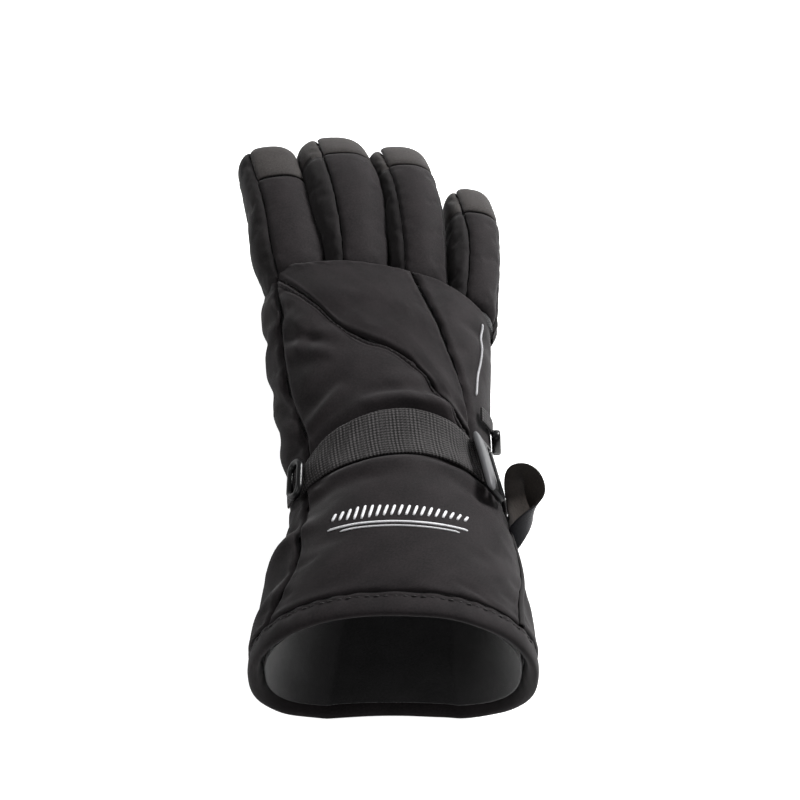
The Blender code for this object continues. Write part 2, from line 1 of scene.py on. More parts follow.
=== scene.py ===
"""Looks of an insulated gauntlet glove, palm down, with its thumb under the palm.

Design sizes are millimetres in the hand's frame: +Y to the fingertips, +Z to the back of the
hand, -X to the thumb side. metres() gives the scene's coordinates.
A place on the hand or cuff is (turn, y). A turn is in degrees about the length of the piece: 0 on
the little-finger side, 90 on the back, 180 on the thumb side, 270 on the palm. A place on a
finger or the thumb is (turn, along), along being the distance from its root.
A grid of points has rows along the glove and columns round it. Its sides are B and T for the
first and last row, L and R for the first and last column.
"""
import math
from functools import partial

import bmesh
import bpy
import numpy as np
from mathutils import Matrix, Vector


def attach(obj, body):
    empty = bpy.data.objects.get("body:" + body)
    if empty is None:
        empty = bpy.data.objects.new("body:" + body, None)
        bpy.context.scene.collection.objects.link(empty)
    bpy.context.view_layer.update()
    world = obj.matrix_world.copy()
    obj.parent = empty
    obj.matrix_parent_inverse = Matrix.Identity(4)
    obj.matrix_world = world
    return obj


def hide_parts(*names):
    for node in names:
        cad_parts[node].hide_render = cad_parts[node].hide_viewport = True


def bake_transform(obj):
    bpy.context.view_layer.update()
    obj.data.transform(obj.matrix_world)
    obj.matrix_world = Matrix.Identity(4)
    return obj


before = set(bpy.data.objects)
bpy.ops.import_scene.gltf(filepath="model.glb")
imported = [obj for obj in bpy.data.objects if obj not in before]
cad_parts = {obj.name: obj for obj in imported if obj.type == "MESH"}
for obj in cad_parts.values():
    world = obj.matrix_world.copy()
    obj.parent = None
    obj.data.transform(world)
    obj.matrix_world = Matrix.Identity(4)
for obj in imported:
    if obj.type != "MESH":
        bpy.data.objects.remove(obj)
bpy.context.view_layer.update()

SHIFT = np.array([0.0, 120.0, 0.0])
QUARTER = math.pi / 2


def metres(points):
    return (np.asarray(points, float) + SHIFT) * 0.001


def smooth(share):
    share = np.clip(share, 0.0, 1.0)
    return share * share * (3 - 2 * share)


def bell(distance, width):
    return np.exp(-(distance / width) ** 2)


def signed_power(value, power):
    return np.sign(value) * np.abs(value) ** power


def unit(vectors, least=1e-9):
    return vectors / np.maximum(np.linalg.norm(vectors, axis=-1, keepdims=True), least)


def pchip(knots, values, at):
    """A smooth curve through the values at the knots that never overshoots them."""
    knots, values, at = (np.asarray(part, float) for part in (knots, values, at))
    step = np.diff(knots)
    slope = np.diff(values) / step
    tangent = np.zeros_like(values)
    tangent[0], tangent[-1] = slope[0], slope[-1]
    for i in range(1, len(knots) - 1):
        if slope[i - 1] * slope[i] > 0:
            before, after = 2 * step[i] + step[i - 1], step[i] + 2 * step[i - 1]
            tangent[i] = (before + after) / (before / slope[i - 1] + after / slope[i])
    i = np.clip(np.searchsorted(knots, at) - 1, 0, len(knots) - 2)
    t = np.clip((at - knots[i]) / step[i], 0, 1)
    return ((1 + 2 * t) * (1 - t) ** 2 * values[i] + t * (1 - t) ** 2 * step[i] * tangent[i]
            + t * t * (3 - 2 * t) * values[i + 1] + t * t * (t - 1) * step[i] * tangent[i + 1])


def wave_noise(*coords, seed):
    """Smooth repeatable noise, about -1 to 1, from a few sines."""
    draw = np.random.default_rng(seed)
    total, size = 0.0, 1.0
    for octave in range(3):
        for _ in range(3):
            waves = draw.normal(size=len(coords)) * (1.7 ** octave)
            phase = sum(wave * coord for wave, coord in zip(waves, coords))
            total = total + size * np.sin(phase + draw.uniform(0, 6.28))
        size *= 0.55
    return total / 4.0


# ---------------------------------------------------------------- the hand's surface

# y, middle x, middle z, half width, height above the middle, depth below it on the thumb side
# and on the little-finger side
BODY = np.array([
    [-172,  1.0, 57.0, 66.0, 56.5, 62.0, 62.0],
    [-160,  1.0, 57.0, 65.5, 56.0, 62.0, 62.0],
    [-142,  1.5, 57.0, 62.0, 54.5, 62.0, 62.0],
    [-116,  3.0, 56.0, 57.5, 51.0, 61.0, 61.0],
    [ -93,  4.5, 55.0, 51.0, 47.0, 58.0, 60.0],
    [ -77,  2.2, 54.0, 48.7, 42.0, 46.0, 58.0],
    [ -62, -0.5, 54.0, 47.5, 38.5, 32.0, 57.0],
    [ -46, -2.2, 55.0, 48.5, 38.0, 26.0, 58.0],
    [ -20, -5.0, 56.0, 52.0, 35.0, 25.5, 58.0],
    [   8, -6.7, 56.5, 55.3, 31.0, 25.0, 50.0],
    [  30, -7.4, 56.0, 57.1, 28.0, 24.5, 33.0],
    [  48, -7.4, 55.0, 57.6, 24.5, 23.0, 24.0],
])
BODY_POWER = 2.35  # 2 would make the sections ellipses; more is squarer

# root: the middle of the open end. lean: degrees towards the thumb. pitch: degrees of rise at
# root and tip, curl how late it changes. width, height: half sizes at root, middle and tip.
# root_height: half height at the knuckle. roll: degrees about the length.
# back_from, back_to: turns of the back panel's seams; back_to_tip: of the second near the tip.
# shift (to the little-finger side), wide_thumb and wide_little (added on those sides): at WIDE_AT.
# cap: length of the tip cap. wall: whether the cap's cloth goes on down the thumb side.
WIDE_AT = [0.0, 0.22, 0.55, 1.0]
FINGERS = {
    "index": dict(
        root=(-46.4, 48.0, 56.0), lean=13.0, pitch=(6.0, -16.0), curl=1.3, length=85.0,
        width=(14.4, 15.8, 15.4), height=(17.0, 17.0, 15.0), root_height=15.2,
        roll=6.0, back_from=22.0, back_to=119.0, back_to_tip=126.0, shift=(0.0, 0.0, 0.0, 0.0),
        wide_thumb=(2.5, 4.6, 1.5, 0.5), wide_little=(2.0, 4.6, 1.5, 0.5), cap=27.0, wall=False),
    "middle": dict(
        root=(-16.2, 47.0, 59.0), lean=11.0, pitch=(6.0, -34.0), curl=1.8, length=94.0,
        width=(14.2, 14.6, 14.4), height=(17.0, 17.0, 14.5), root_height=15.2,
        roll=9.0, back_from=18.0, back_to=114.0, back_to_tip=114.0, shift=(0.0, 1.0, 4.5, 1.5),
        wide_thumb=(0.0, 1.5, 7.0, 5.0), wide_little=(2.0, 4.0, 3.6, 2.8), cap=22.0, wall=True),
    "ring": dict(
        root=(14.6, 40.5, 58.0), lean=7.0, pitch=(6.0, -36.0), curl=1.8, length=96.0,
        width=(13.6, 14.8, 14.8), height=(17.0, 17.0, 14.5), root_height=15.2,
        roll=7.0, back_from=18.0, back_to=119.0, back_to_tip=122.0, shift=(0.0, 0.0, 0.0, -2.0),
        wide_thumb=(0.0, -1.0, -2.0, 2.0), wide_little=(0.8, 1.5, 3.0, 1.2), cap=24.0, wall=True),
    "little": dict(
        root=(43.6, 29.0, 54.0), lean=-1.0, pitch=(5.0, -34.0), curl=1.7, length=82.0,
        width=(13.6, 15.2, 14.6), height=(16.0, 16.0, 13.5), root_height=14.4,
        roll=9.0, back_from=16.0, back_to=104.0, back_to_tip=128.0,
        shift=(-3.0, -3.0, -3.0, -6.0), wide_thumb=(-1.5, -1.5, -1.0, -1.5),
        wide_little=(-1.0, -1.5, -1.5, -3.5), cap=26.0, wall=True),
}
ROOT_X = [shape["root"][0] for shape in FINGERS.values()]
ROOT_Z = [shape["root"][2] for shape in FINGERS.values()]
ROOT_Y = [49.0, 47.0, 40.5, 29.0]  # where the hand's front edge aims, by finger


def skin(turn, y):
    """Points of the smooth hand and cuff."""
    turn, y = np.broadcast_arrays(np.asarray(turn, float), np.asarray(y, float))
    mid_x, mid_z, half, above, thumb_low, little_low = (
        pchip(BODY[:, 0], BODY[:, k], y) for k in range(1, 7))
    # towards the fingers the hand narrows and its underside rises
    ahead = smooth((y - 16) / 30)
    half = half - 3.6 * ahead
    thumb_low = thumb_low + (17.0 - thumb_low) * ahead
    little_low = little_low + (17.0 - little_low) * ahead
    cos, sin = np.cos(np.radians(turn)), np.sin(np.radians(turn))
    below = thumb_low + (little_low - thumb_low) * smooth((cos + 0.25) / 0.8)
    x = mid_x + half * signed_power(cos, 2 / BODY_POWER)
    reach = np.where(sin >= 0, above, below)
    z = np.maximum(mid_z + reach * signed_power(sin, 2 / BODY_POWER), 0.0)
    # the row of knuckles slants back towards the little finger
    slant = 12.0 * np.clip((y + 25) / 77, 0, 1.1) ** 1.3
    return np.stack([x, y - slant * (x - mid_x) / 57.0, z], -1)


def body(turn, y, inset=0.0):
    """Points inset mm under the skin."""
    up = np.cross(skin(turn, y + 4) - skin(turn, y - 4), skin(turn + 4, y) - skin(turn - 4, y))
    return skin(turn, y) - np.asarray(inset)[..., None] * unit(up)


def front_y(turn):
    """Where the hand ends and the fingers start, in the surface's own y."""
    y = 40.0
    for _ in range(40):
        x, true_y, z = skin(turn, y)
        rise = (z - np.interp(x, ROOT_X, ROOT_Z)) / 17.0
        reach = (6.0 if rise > 0 else 4.0) * max(-1.2, min(1.2, rise))
        y += 0.6 * (np.interp(x, ROOT_X, ROOT_Y) - 4.0 + reach - true_y)
    return float(y)


FRONT_TURNS = np.arange(-40.0, 401.0, 4.0)
FRONT_Y = np.array([front_y(turn) for turn in FRONT_TURNS])
FRONT_Y = np.convolve(np.pad(FRONT_Y, 2, mode="edge"), np.ones(5) / 5, mode="valid")
FRONT_Y = FRONT_Y + 9.0 * bell(FRONT_TURNS - 156.0, 14.0)  # further forward beside the index


def front(turn):
    return np.interp(turn, FRONT_TURNS, FRONT_Y)


# Side seams give a turn for each y
index_seam = partial(pchip, [-80, -53, -28, -12, 2, 9, 16, 25, 39, 47, 54],
                     [140, 141, 148, 147.5, 147, 146, 143, 147.5, 154, 156, 158])
little_seam = partial(pchip, [-80, -50, -32, -5, 26, 52], [36, 37, 41, 54, 67, 76])
cuff_thumb_seam = partial(pchip, [-160, -134, -122, -110, -95, -60],
                          [152, 140, 137, 141, 146, 152])
cuff_little_seam = partial(pchip, [-160, -140, -118, -60], [32, 25, 13, 10])
# Cross seams give a y for each turn
wrist_seam = partial(pchip, [-60, 0, 38, 66, 90, 112, 146, 180, 240, 300, 360],
                     [-76, -72, -72, -64, -61, -65, -77, -80, -80, -76, -72])
crossing_seam = partial(pchip, [38, 51, 61, 72, 76, 84, 90, 97, 103, 109, 115, 124, 139, 154],
                        [-54, -44.5, -35, -21.5, -16.5, -9.8, -5.2, -1.2, 2.0, 8.5, 15.5, 23.5,
                         32, 38])
# Turns of the palm panels' seams: thumb side, little-finger side
PALM_TURNS = (203.0, 338.0)
CUFF_PALM_TURNS = (214.0, 326.0)


def straight(turn):
    """A side seam that stays at one turn."""
    return lambda y: turn


def hem_y(turn):
    """The hem's stitch line: it dips at the cuff's sides."""
    return -149.0 - 7.5 * np.cos(np.radians(turn)) ** 2


# ---------------------------------------------------------------- grids between seams

def spaced(count, ends=0.6):
    """Values from 0 to 1, closer together at both ends."""
    even = np.linspace(0, 1, count)
    return even - ends * np.sin(2 * np.pi * even) / (2 * np.pi)


def crossing(turn_of, y_of, turn):
    """Where the side seam turn_of(y) meets the cross seam y_of(turn)."""
    for _ in range(40):
        turn = 0.5 * (turn + float(turn_of(float(y_of(turn)))))
    return np.array([turn, float(y_of(turn))])


def edge_line(start, end, shares, axis, seam):
    """An edge from corner to corner: spaced by shares on one axis, on the seam in the other."""
    placed = start[axis] + (end[axis] - start[axis]) * shares
    found = np.array([float(seam(value)) for value in placed])
    return np.stack([found, placed] if axis else [placed, found], -1)


def seamed(seams, columns, rows):
    """A grid of (turn, y) that fills the patch between two side seams and two cross seams."""
    low, high, first, last = seams
    c00, c01 = crossing(low, first, 60), crossing(low, last, 60)
    c10, c11 = crossing(high, first, 120), crossing(high, last, 120)
    s, t = spaced(columns), spaced(rows)
    left, right = edge_line(c00, c01, t, 1, low), edge_line(c10, c11, t, 1, high)
    bottom, top = edge_line(c00, c10, s, 0, first), edge_line(c01, c11, s, 0, last)
    s, t = s[None, :, None], t[:, None, None]
    corners = (1 - s) * (1 - t) * c00 + s * (1 - t) * c10 + (1 - s) * t * c01 + s * t * c11
    return ((1 - s) * left[:, None] + s * right[:, None]
            + (1 - t) * bottom[None] + t * top[None] - corners)


def normals(grid):
    return unit(np.cross(np.gradient(grid, axis=0), np.gradient(grid, axis=1)))


def lengths(grid, axis):
    """The distance run along each row (axis 1) or column (axis 0)."""
    gaps = np.linalg.norm(np.diff(grid, axis=axis), axis=-1)
    zero = np.zeros_like(np.take(gaps, [0], axis=axis))
    return np.concatenate([zero, np.cumsum(gaps, axis=axis)], axis=axis)


def edge_distance(grid, sides="LRBT"):
    across, along = lengths(grid, 1), lengths(grid, 0)
    to_side = {"L": across, "R": across[:, -1:] - across, "B": along, "T": along[-1:] - along}
    nearest = np.full(across.shape, 1e3)
    for side in sides:
        nearest = np.minimum(nearest, to_side[side])
    return nearest


def grid_faces(rows, columns, wrap=False):
    i, j = np.meshgrid(np.arange(rows - 1), np.arange(columns if wrap else columns - 1),
                       indexing="ij")
    k = (j + 1) % columns
    here, ahead = i * columns, (i + 1) * columns
    return np.stack([here + j, ahead + j, ahead + k, here + k], -1).reshape(-1, 4)


# ---------------------------------------------------------------- the cloth run

CLOTHS = {}
CLOTH_FRAMES = 16
CLOTH_SCALE = 0.01  # panels are simulated at ten times life size


def want_cloth(name, grid, pressure, extra, cap, pins=False):
    """Queues a panel. Its seams and pins hold still; extra is the share of surplus fabric and
    cap the furthest a point may move."""
    pin = np.zeros(grid.shape[:2], bool)
    pin[0], pin[-1], pin[:, 0], pin[:, -1] = True, True, True, True
    CLOTHS[name] = dict(grid=grid, pin=pin | pins, pressure=pressure, extra=extra, cap=cap)


def cloth_object(name, cloth):
    grid = cloth["grid"] * CLOTH_SCALE
    mesh = bpy.data.meshes.new("sim_" + name)
    mesh.from_pydata(grid.reshape(-1, 3).tolist(), [], grid_faces(*grid.shape[:2]).tolist())
    obj = bpy.data.objects.new("sim_" + name, mesh)
    bpy.context.scene.collection.objects.link(obj)
    group = obj.vertex_groups.new(name="pin")
    group.add(np.flatnonzero(cloth["pin"]).tolist(), 1.0, "REPLACE")
    modifier = obj.modifiers.new("cloth", "CLOTH")
    settings = modifier.settings
    settings.quality, settings.mass, settings.air_damping = 6, 0.25, 2.0
    settings.tension_stiffness = settings.compression_stiffness = 14
    settings.shear_stiffness, settings.bending_stiffness = 6, 0.6
    settings.use_pressure, settings.uniform_pressure_force = True, cloth["pressure"]
    settings.shrink_min = -cloth["extra"]
    settings.vertex_group_mass = "pin"
    settings.effector_weights.gravity = 0
    modifier.collision_settings.use_collision = False
    modifier.collision_settings.use_self_collision = False
    modifier.point_cache.frame_start, modifier.point_cache.frame_end = 1, CLOTH_FRAMES
    return obj


def settled(obj, cloth, depsgraph):
    """The simulated grid, held close to the drawn one."""
    grid = cloth["grid"]
    verts = obj.evaluated_get(depsgraph).data.vertices
    places = np.zeros(len(verts) * 3)
    verts.foreach_get("co", places)
    move = places.reshape(grid.shape) / CLOTH_SCALE - grid
    size = np.linalg.norm(move, axis=-1, keepdims=True)
    up = normals(grid)
    # no point sinks more than 0.6 mm
    move = move - np.minimum((move * up).sum(-1, keepdims=True) + 0.6, 0.0) * up
    return grid + move * np.minimum(1.0, cloth["cap"] / np.maximum(size, 1e-6))


def run_cloths():
    """Simulates every queued panel together and returns the settled grids."""
    scene = bpy.context.scene
    made = {name: cloth_object(name, cloth) for name, cloth in CLOTHS.items()}
    for k in range(1, CLOTH_FRAMES + 1):
        scene.frame_set(k)
    depsgraph = bpy.context.evaluated_depsgraph_get()
    grids = {name: settled(obj, CLOTHS[name], depsgraph) for name, obj in made.items()}
    for obj in made.values():
        mesh = obj.data
        bpy.data.objects.remove(obj)
        bpy.data.meshes.remove(mesh)
    scene.frame_set(1)
    return grids


# ---------------------------------------------------------------- materials

def node_material(name):
    material = bpy.data.materials.new(name)
    material.use_nodes = True
    tree = material.node_tree
    return material, tree, next(n for n in tree.nodes if n.type == "BSDF_PRINCIPLED")


def set_inputs(node, **values):
    for key, value in values.items():
        node.inputs[key.replace("_", " ")].default_value = value


def add_node(tree, kind, **values):
    node = tree.nodes.new(kind)
    set_inputs(node, **values)
    return node


def calc(tree, operation, first, second=None):
    """A math node on a socket and, if given, a second socket or number."""
    node = tree.nodes.new("ShaderNodeMath")
    node.operation = operation
    tree.links.new(first, node.inputs[0])
    if hasattr(second, "is_output"):
        tree.links.new(second, node.inputs[1])
    elif second is not None:
        node.inputs[1].default_value = second
    return node.outputs[0]


def noise(tree, coords, **values):
    node = add_node(tree, "ShaderNodeTexNoise", **values)
    tree.links.new(coords, node.inputs["Vector"])
    return node.outputs["Fac"]


def map_range(tree, value, **limits):
    node = add_node(tree, "ShaderNodeMapRange", **limits)
    tree.links.new(value, node.inputs["Value"])
    return node.outputs["Result"]


def mix_colour(tree, factor, first, second):
    node = tree.nodes.new("ShaderNodeMix")
    node.data_type = "RGBA"
    tree.links.new(factor, node.inputs["Factor"])
    node.inputs[6].default_value = (*first, 1)
    node.inputs[7].default_value = (*second, 1)
    return node.outputs[2]


def add_bump(tree, shader, height, strength, distance):
    bump = add_node(tree, "ShaderNodeBump", Strength=strength, Distance=distance)
    tree.links.new(height, bump.inputs["Height"])
    tree.links.new(bump.outputs[0], shader.inputs["Normal"])


def fabric(name, dark, light, thread=0.45, depth=0.05, rough=0.78, sheen=0.10, ribs=None,
           fuzz=0.0, weave_share=1.0):
    """Woven cloth on UVs in millimetres. thread is the yarn pitch and depth the relief, in mm;
    ribs is (pitch, share) along the UV's first axis."""
    material, tree, shader = node_material(name)
    plus, times, sine = (partial(calc, tree, kind) for kind in ("ADD", "MULTIPLY", "SINE"))
    uv = tree.nodes.new("ShaderNodeTexCoord").outputs["UV"]
    split = tree.nodes.new("ShaderNodeSeparateXYZ")
    tree.links.new(uv, split.inputs[0])
    wave = 2 * math.pi / thread
    warp = sine(times(split.outputs[0], wave))
    weft = sine(times(split.outputs[1], wave * 0.9))
    weave = times(times(warp, weft), weave_share)
    grain = noise(tree, uv, Scale=2.2, Detail=6.0, Roughness=0.65)
    fleck = noise(tree, uv, Scale=0.95, Detail=2.0, Roughness=0.6)
    broad = noise(tree, uv, Scale=0.06, Detail=3.0, Roughness=0.5)
    # shade picks between dark and light; height feeds the bump
    shade = plus(plus(times(grain, 0.45), times(fleck, 0.55)), times(broad, 0.45))
    shade = plus(shade, times(weave, 0.12))
    height = plus(times(weave, 0.5), times(grain, 0.7 + fuzz))
    if ribs:
        pitch, share = ribs
        rib = sine(times(split.outputs[0], 2 * math.pi / pitch))
        shade = plus(shade, times(rib, share * 0.55))
        cross = sine(times(split.outputs[1], 2 * math.pi / 1.4))
        shade = plus(shade, times(cross, share * 0.7))
        knots = times(rib, cross)
        shade = plus(shade, times(knots, share * 0.6))
        height = plus(height, times(cross, 0.8))
    factor = map_range(tree, shade, From_Min=0.56, From_Max=0.90)
    tree.links.new(mix_colour(tree, factor, dark, light), shader.inputs["Base Color"])
    add_bump(tree, shader, height, strength=0.55, distance=depth * 0.001)
    set_inputs(shader, Roughness=rough, Sheen_Weight=sheen, Sheen_Roughness=0.45,
               Specular_IOR_Level=0.18)
    return material


def plastic(name, colour, rough):
    """Moulded plastic, a little mottled in colour and gloss."""
    material, tree, shader = node_material(name)
    coords = tree.nodes.new("ShaderNodeTexCoord").outputs["Object"]
    fine = noise(tree, coords, Scale=900.0, Detail=4.0)
    mottle = noise(tree, coords, Scale=120.0, Detail=5.0, Roughness=0.7)
    darker, lighter = (tuple(gain * part for part in colour) for gain in (0.8, 1.35))
    tree.links.new(mix_colour(tree, mottle, darker, lighter), shader.inputs["Base Color"])
    gloss = map_range(tree, mottle, To_Min=rough * 0.7, To_Max=rough * 1.5)
    tree.links.new(gloss, shader.inputs["Roughness"])
    add_bump(tree, shader, fine, strength=0.12, distance=0.00005)
    set_inputs(shader, Specular_IOR_Level=0.36)
    return material


SHELL = fabric("softshell", (0.0036, 0.0027, 0.0031), (0.0168, 0.0130, 0.0143),
               thread=0.5, depth=0.06)
SIDE = fabric("side_fabric", (0.0034, 0.0028, 0.0030), (0.0140, 0.0118, 0.0125),
              thread=0.6, depth=0.07)
PALM = fabric("palm_fabric", (0.0055, 0.0052, 0.0052), (0.017, 0.016, 0.016),
              thread=0.8, depth=0.10, rough=0.68)
GREY = fabric("cap_fabric", (0.020, 0.0175, 0.017), (0.048, 0.043, 0.041),
              thread=0.55, depth=0.08, rough=0.72)
WEB = fabric("webbing", (0.006, 0.0055, 0.0055), (0.052, 0.048, 0.049),
             thread=0.5, depth=0.12, rough=0.62, ribs=(1.7, 0.28))
TAPE = fabric("loop_tape", (0.006, 0.006, 0.008), (0.020, 0.020, 0.026),
              thread=0.4, rough=0.42, sheen=0.2)
TAPE_BACK = fabric("loop_tape_back", (0.012, 0.0096, 0.0085), (0.036, 0.029, 0.025),
                   thread=0.5, depth=0.06, rough=0.7)
FLEECE = fabric("lining_fleece", (0.010, 0.010, 0.0105), (0.032, 0.031, 0.033),
                thread=1.6, depth=0.5, rough=0.95, sheen=0.6, fuzz=1.2, weave_share=0.0)
WADDING = fabric("wadding", (0.012, 0.012, 0.0125), (0.034, 0.034, 0.035),
                 thread=2.5, depth=0.6, rough=0.95, sheen=0.4, fuzz=1.5, weave_share=0.0)
THREAD = fabric("seam_thread", (0.008, 0.0072, 0.0076), (0.030, 0.027, 0.028),
                thread=0.3, rough=0.5)
WHITE = fabric("emblem_thread", (0.62, 0.62, 0.64), (0.90, 0.90, 0.92),
               thread=0.32, depth=0.12, rough=0.45, sheen=0.3)
REFLECT = fabric("reflective_piping", (0.20, 0.20, 0.205), (0.42, 0.42, 0.435),
                 thread=0.35, depth=0.04, rough=0.32)
BLACK_PLASTIC = plastic("gloss_plastic", (0.0040, 0.0040, 0.0044), rough=0.27)
# grey colour that paints a reflection of the lights on the black buckle
PLASTIC_PAINTED_REFLECTION = plastic("plastic_painted_reflection", (0.088, 0.088, 0.092), rough=0.42)


# ---------------------------------------------------------------- making pieces

def assign(obj, node=None, rides="hand"):
    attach(obj, rides)
    if node:
        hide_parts(node)


def mesh_object(name, verts, faces, uvs, materials, material_index=None):
    """A smooth-shaded object; uvs holds one pair for each vertex."""
    mesh = bpy.data.meshes.new(name)
    mesh.from_pydata(verts.tolist(), [], faces)
    layer = mesh.uv_layers.new(name="UVMap")
    loops = np.zeros(len(mesh.loops), np.int64)
    mesh.loops.foreach_get("vertex_index", loops)
    layer.data.foreach_set("uv", uvs[loops].astype(np.float32).ravel())
    for material in materials:
        mesh.materials.append(material)
    if material_index is not None:
        mesh.polygons.foreach_set("material_index", material_index.astype(np.int32).ravel())
    mesh.polygons.foreach_set("use_smooth", np.ones(len(mesh.polygons), bool))
    mesh.update()
    obj = bpy.data.objects.new(name, mesh)
    bpy.context.scene.collection.objects.link(obj)
    return obj


def grid_object(name, grid, *materials, thick=1.0, wrap=False, rounded_off=True, flip=False,
                material_index=None):
    """A fabric piece from a grid of points, with real thickness and UVs in millimetres."""
    grid = np.array(grid, float)
    grid[..., 2] = np.maximum(grid[..., 2], 0.0)
    faces = grid_faces(*grid.shape[:2], wrap)
    if flip:
        faces = faces[:, ::-1]
    across = lengths(grid, 1)
    across = across - across[:, across.shape[1] // 2][:, None]
    uvs = np.stack([across, lengths(grid, 0)], -1).reshape(-1, 2)
    obj = mesh_object(name, metres(grid.reshape(-1, 3)), faces.tolist(), uvs, materials,
                      material_index)
    solid = obj.modifiers.new("thickness", "SOLIDIFY")
    solid.thickness, solid.offset, solid.use_even_offset = thick * 0.001, -1, False
    if rounded_off:
        subdivide = obj.modifiers.new("round", "SUBSURF")
        subdivide.levels = subdivide.render_levels = 1
    return obj


def raw_object(name, verts, faces, material):
    """An object from points in metres, with UVs spread slantwise over it in millimetres."""
    verts = np.asarray(verts, float)
    spread = verts * 1000
    uvs = spread[:, [0, 1]] + spread[:, [2, 2]] * 0.7
    return mesh_object(name, verts, faces, uvs, [material])


def circle(count):
    angles = 2 * math.pi * np.arange(count) / count
    return np.stack([np.cos(angles), np.sin(angles)], -1)


def tube_faces(rings, sides, base=0, caps=True, loop=False):
    """Faces round a run of rings of points; a loop joins the last ring to the first."""
    faces = []
    for i in range(rings if loop else rings - 1):
        near, far = base + i * sides, base + (i + 1) % rings * sides
        for j in range(sides):
            k = (j + 1) % sides
            faces.append((near + j, near + k, far + k, far + j))
    if caps:
        faces.append(tuple(base + j for j in reversed(range(sides))))
        faces.append(tuple(base + (rings - 1) * sides + j for j in range(sides)))
    return faces


def dip(grid, depth, width, sides="LRBT"):
    """Pulls a panel's seamed edges inwards, so that two panels meet in a groove."""
    return grid - normals(grid) * (depth * bell(edge_distance(grid, sides), width))[..., None]


def turn_in(grid, sides):
    """Adds the seam allowance: each seamed edge turns down into the glove."""
    up = normals(grid)
    for side in sides:
        axis, order = int(side in "LR"), -1 if side in "TR" else 1
        rows, ups = (np.swapaxes(part, 0, axis)[::order].copy() for part in (grid, up))
        inward = unit(rows[1] - rows[0], 1e-6)
        rows[0] = rows[0] + inward * 0.12
        fold = rows[0] - ups[0] * 2.0 + inward * 0.45
        rows, ups = np.concatenate([fold[None], rows]), np.concatenate([ups[:1], ups])
        grid, up = (np.swapaxes(part[::order], 0, axis) for part in (rows, ups))
    return grid


def on_panel(grid, points, lift):
    """Points moved onto a finished panel, lift mm above it, with the panel's normals there."""
    verts, verts_up = grid.reshape(-1, 3), normals(grid).reshape(-1, 3)
    places, ups = [], []
    for point in points:
        gap = ((verts - point) ** 2).sum(1)
        near = np.argpartition(gap, 6)[:6]
        weight = (1 / (gap[near] + 0.05))[:, None]
        place = (verts[near] * weight).sum(0) / weight.sum()
        up = unit((verts_up[near] * weight).sum(0))
        places.append(point + up * ((place - point) @ up) + up * lift)
        ups.append(up)
    return np.array(places), np.array(ups)


def stitches(name, path, ups, long, gap, radius, sink):
    """Thread stitches along a path: each is a small capsule whose ends dive into the cloth."""
    gaps = np.linalg.norm(np.diff(path, axis=0), axis=1)
    run = np.concatenate([[0], np.cumsum(gaps)])
    count = int(run[-1] / (long + gap))
    sides, rings = 6, 5
    verts, faces = [], []
    for k in range(count):
        middle = (k + 0.5) * run[-1] / count
        at = middle + np.linspace(-0.5, 0.5, rings) * long
        points = np.stack([np.interp(at, run, path[:, i]) for i in range(3)], -1)
        up = unit(np.array([np.interp(middle, run, ups[:, i]) for i in range(3)]))
        side = np.cross(up, unit(points[-1] - points[0]))
        faces += tube_faces(rings, sides, len(verts))
        for i in range(rings):
            end = abs(2 * i / (rings - 1) - 1)
            centre = points[i] - up * (sink + 0.45 * end ** 2)
            ring = circle(sides) * (radius * (1 - 0.55 * end ** 2))
            verts.extend(centre + ring @ np.array([side, up]))
    assign(raw_object(name, metres(verts), faces, THREAD))


# ---------------------------------------------------------------- hand and cuff panels

# Soft ridges between two surface points: turn, y, turn, y, height, width
HAND_FOLDS = [
    (138, -50, 112, -34, 2.8, 4.0), (136, -43, 108, -24, -2.2, 3.6),
    (140, -36, 122, -12, 1.6, 5.0), (44, -50, 70, -36, 2.4, 4.0), (40, -44, 52, -16, -1.6, 4.0),
    (95, -44, 58, -41, 3.0, 4.2), (98, -36, 62, -32, -2.4, 3.4), (84, -29, 62, -24, 1.2, 4.0),
    (150, -52, 172, -30, 3.2, 5.0), (148, -38, 178, -12, -2.2, 4.5),
    (165, -62, 190, -40, 2.6, 6.0), (150, 2, 186, 12, -1.6, 4.5), (150, 20, 190, 30, 1.4, 5.0),
    (20, -60, 8, -30, 1.4, 5.0), (10, 10, 40, 20, -1.0, 5.0), (112, 22, 84, 28, 1.2, 6.0),
    (104, 12, 92, 30, -0.9, 4.0), (150, -22, 182, -6, 1.8, 5.0), (118, 4, 96, 18, -1.2, 5.0),
    (60, 2, 74, 24, 1.2, 5.0), (128, -14, 118, 8, -1.2, 4.0), (134, -20, 128, 8, 1.0, 4.0),
    (144, 3, 112, -5, -2.2, 3.0), (145, -4, 110, -12, 1.8, 4.0), (96, 5, 79, 17, -1.6, 5.0),
    (138, 14, 126, 6, 1.4, 4.0), (152, 12, 160, 4, 1.6, 3.5),
]
CUFF_FOLDS = [
    (145, -84, 152, -104, 2.0, 5.0), (138, -107, 164, -121, 5.0, 5.0),
    (150, -99, 178, -104, -3.2, 4.5), (139, -128, 172, -135, -3.2, 4.5),
    (142, -138, 168, -148, 2.4, 5.5), (72, -77, 40, -86, 3.0, 4.5), (60, -84, 34, -96, -1.4, 4.5),
    (128, -80, 104, -76, 2.2, 4.5), (120, -86, 96, -83, -1.0, 4.0), (40, -84, 28, -104, 1.4, 5.0),
    (34, -106, 46, -132, 1.2, 6.0), (54, -124, 62, -146, 1.2, 6.0),
    (122, -92, 126, -130, 1.3, 7.0), (98, -76, 80, -80, 1.6, 4.5), (4, -88, -10, -120, 2.2, 6.0),
    (0, -120, -16, -142, -1.8, 6.0), (84, -128, 100, -144, -0.8, 8.0),
    (112, -120, 104, -146, 0.8, 7.0), (18, -128, 4, -150, 1.6, 6.0),
]


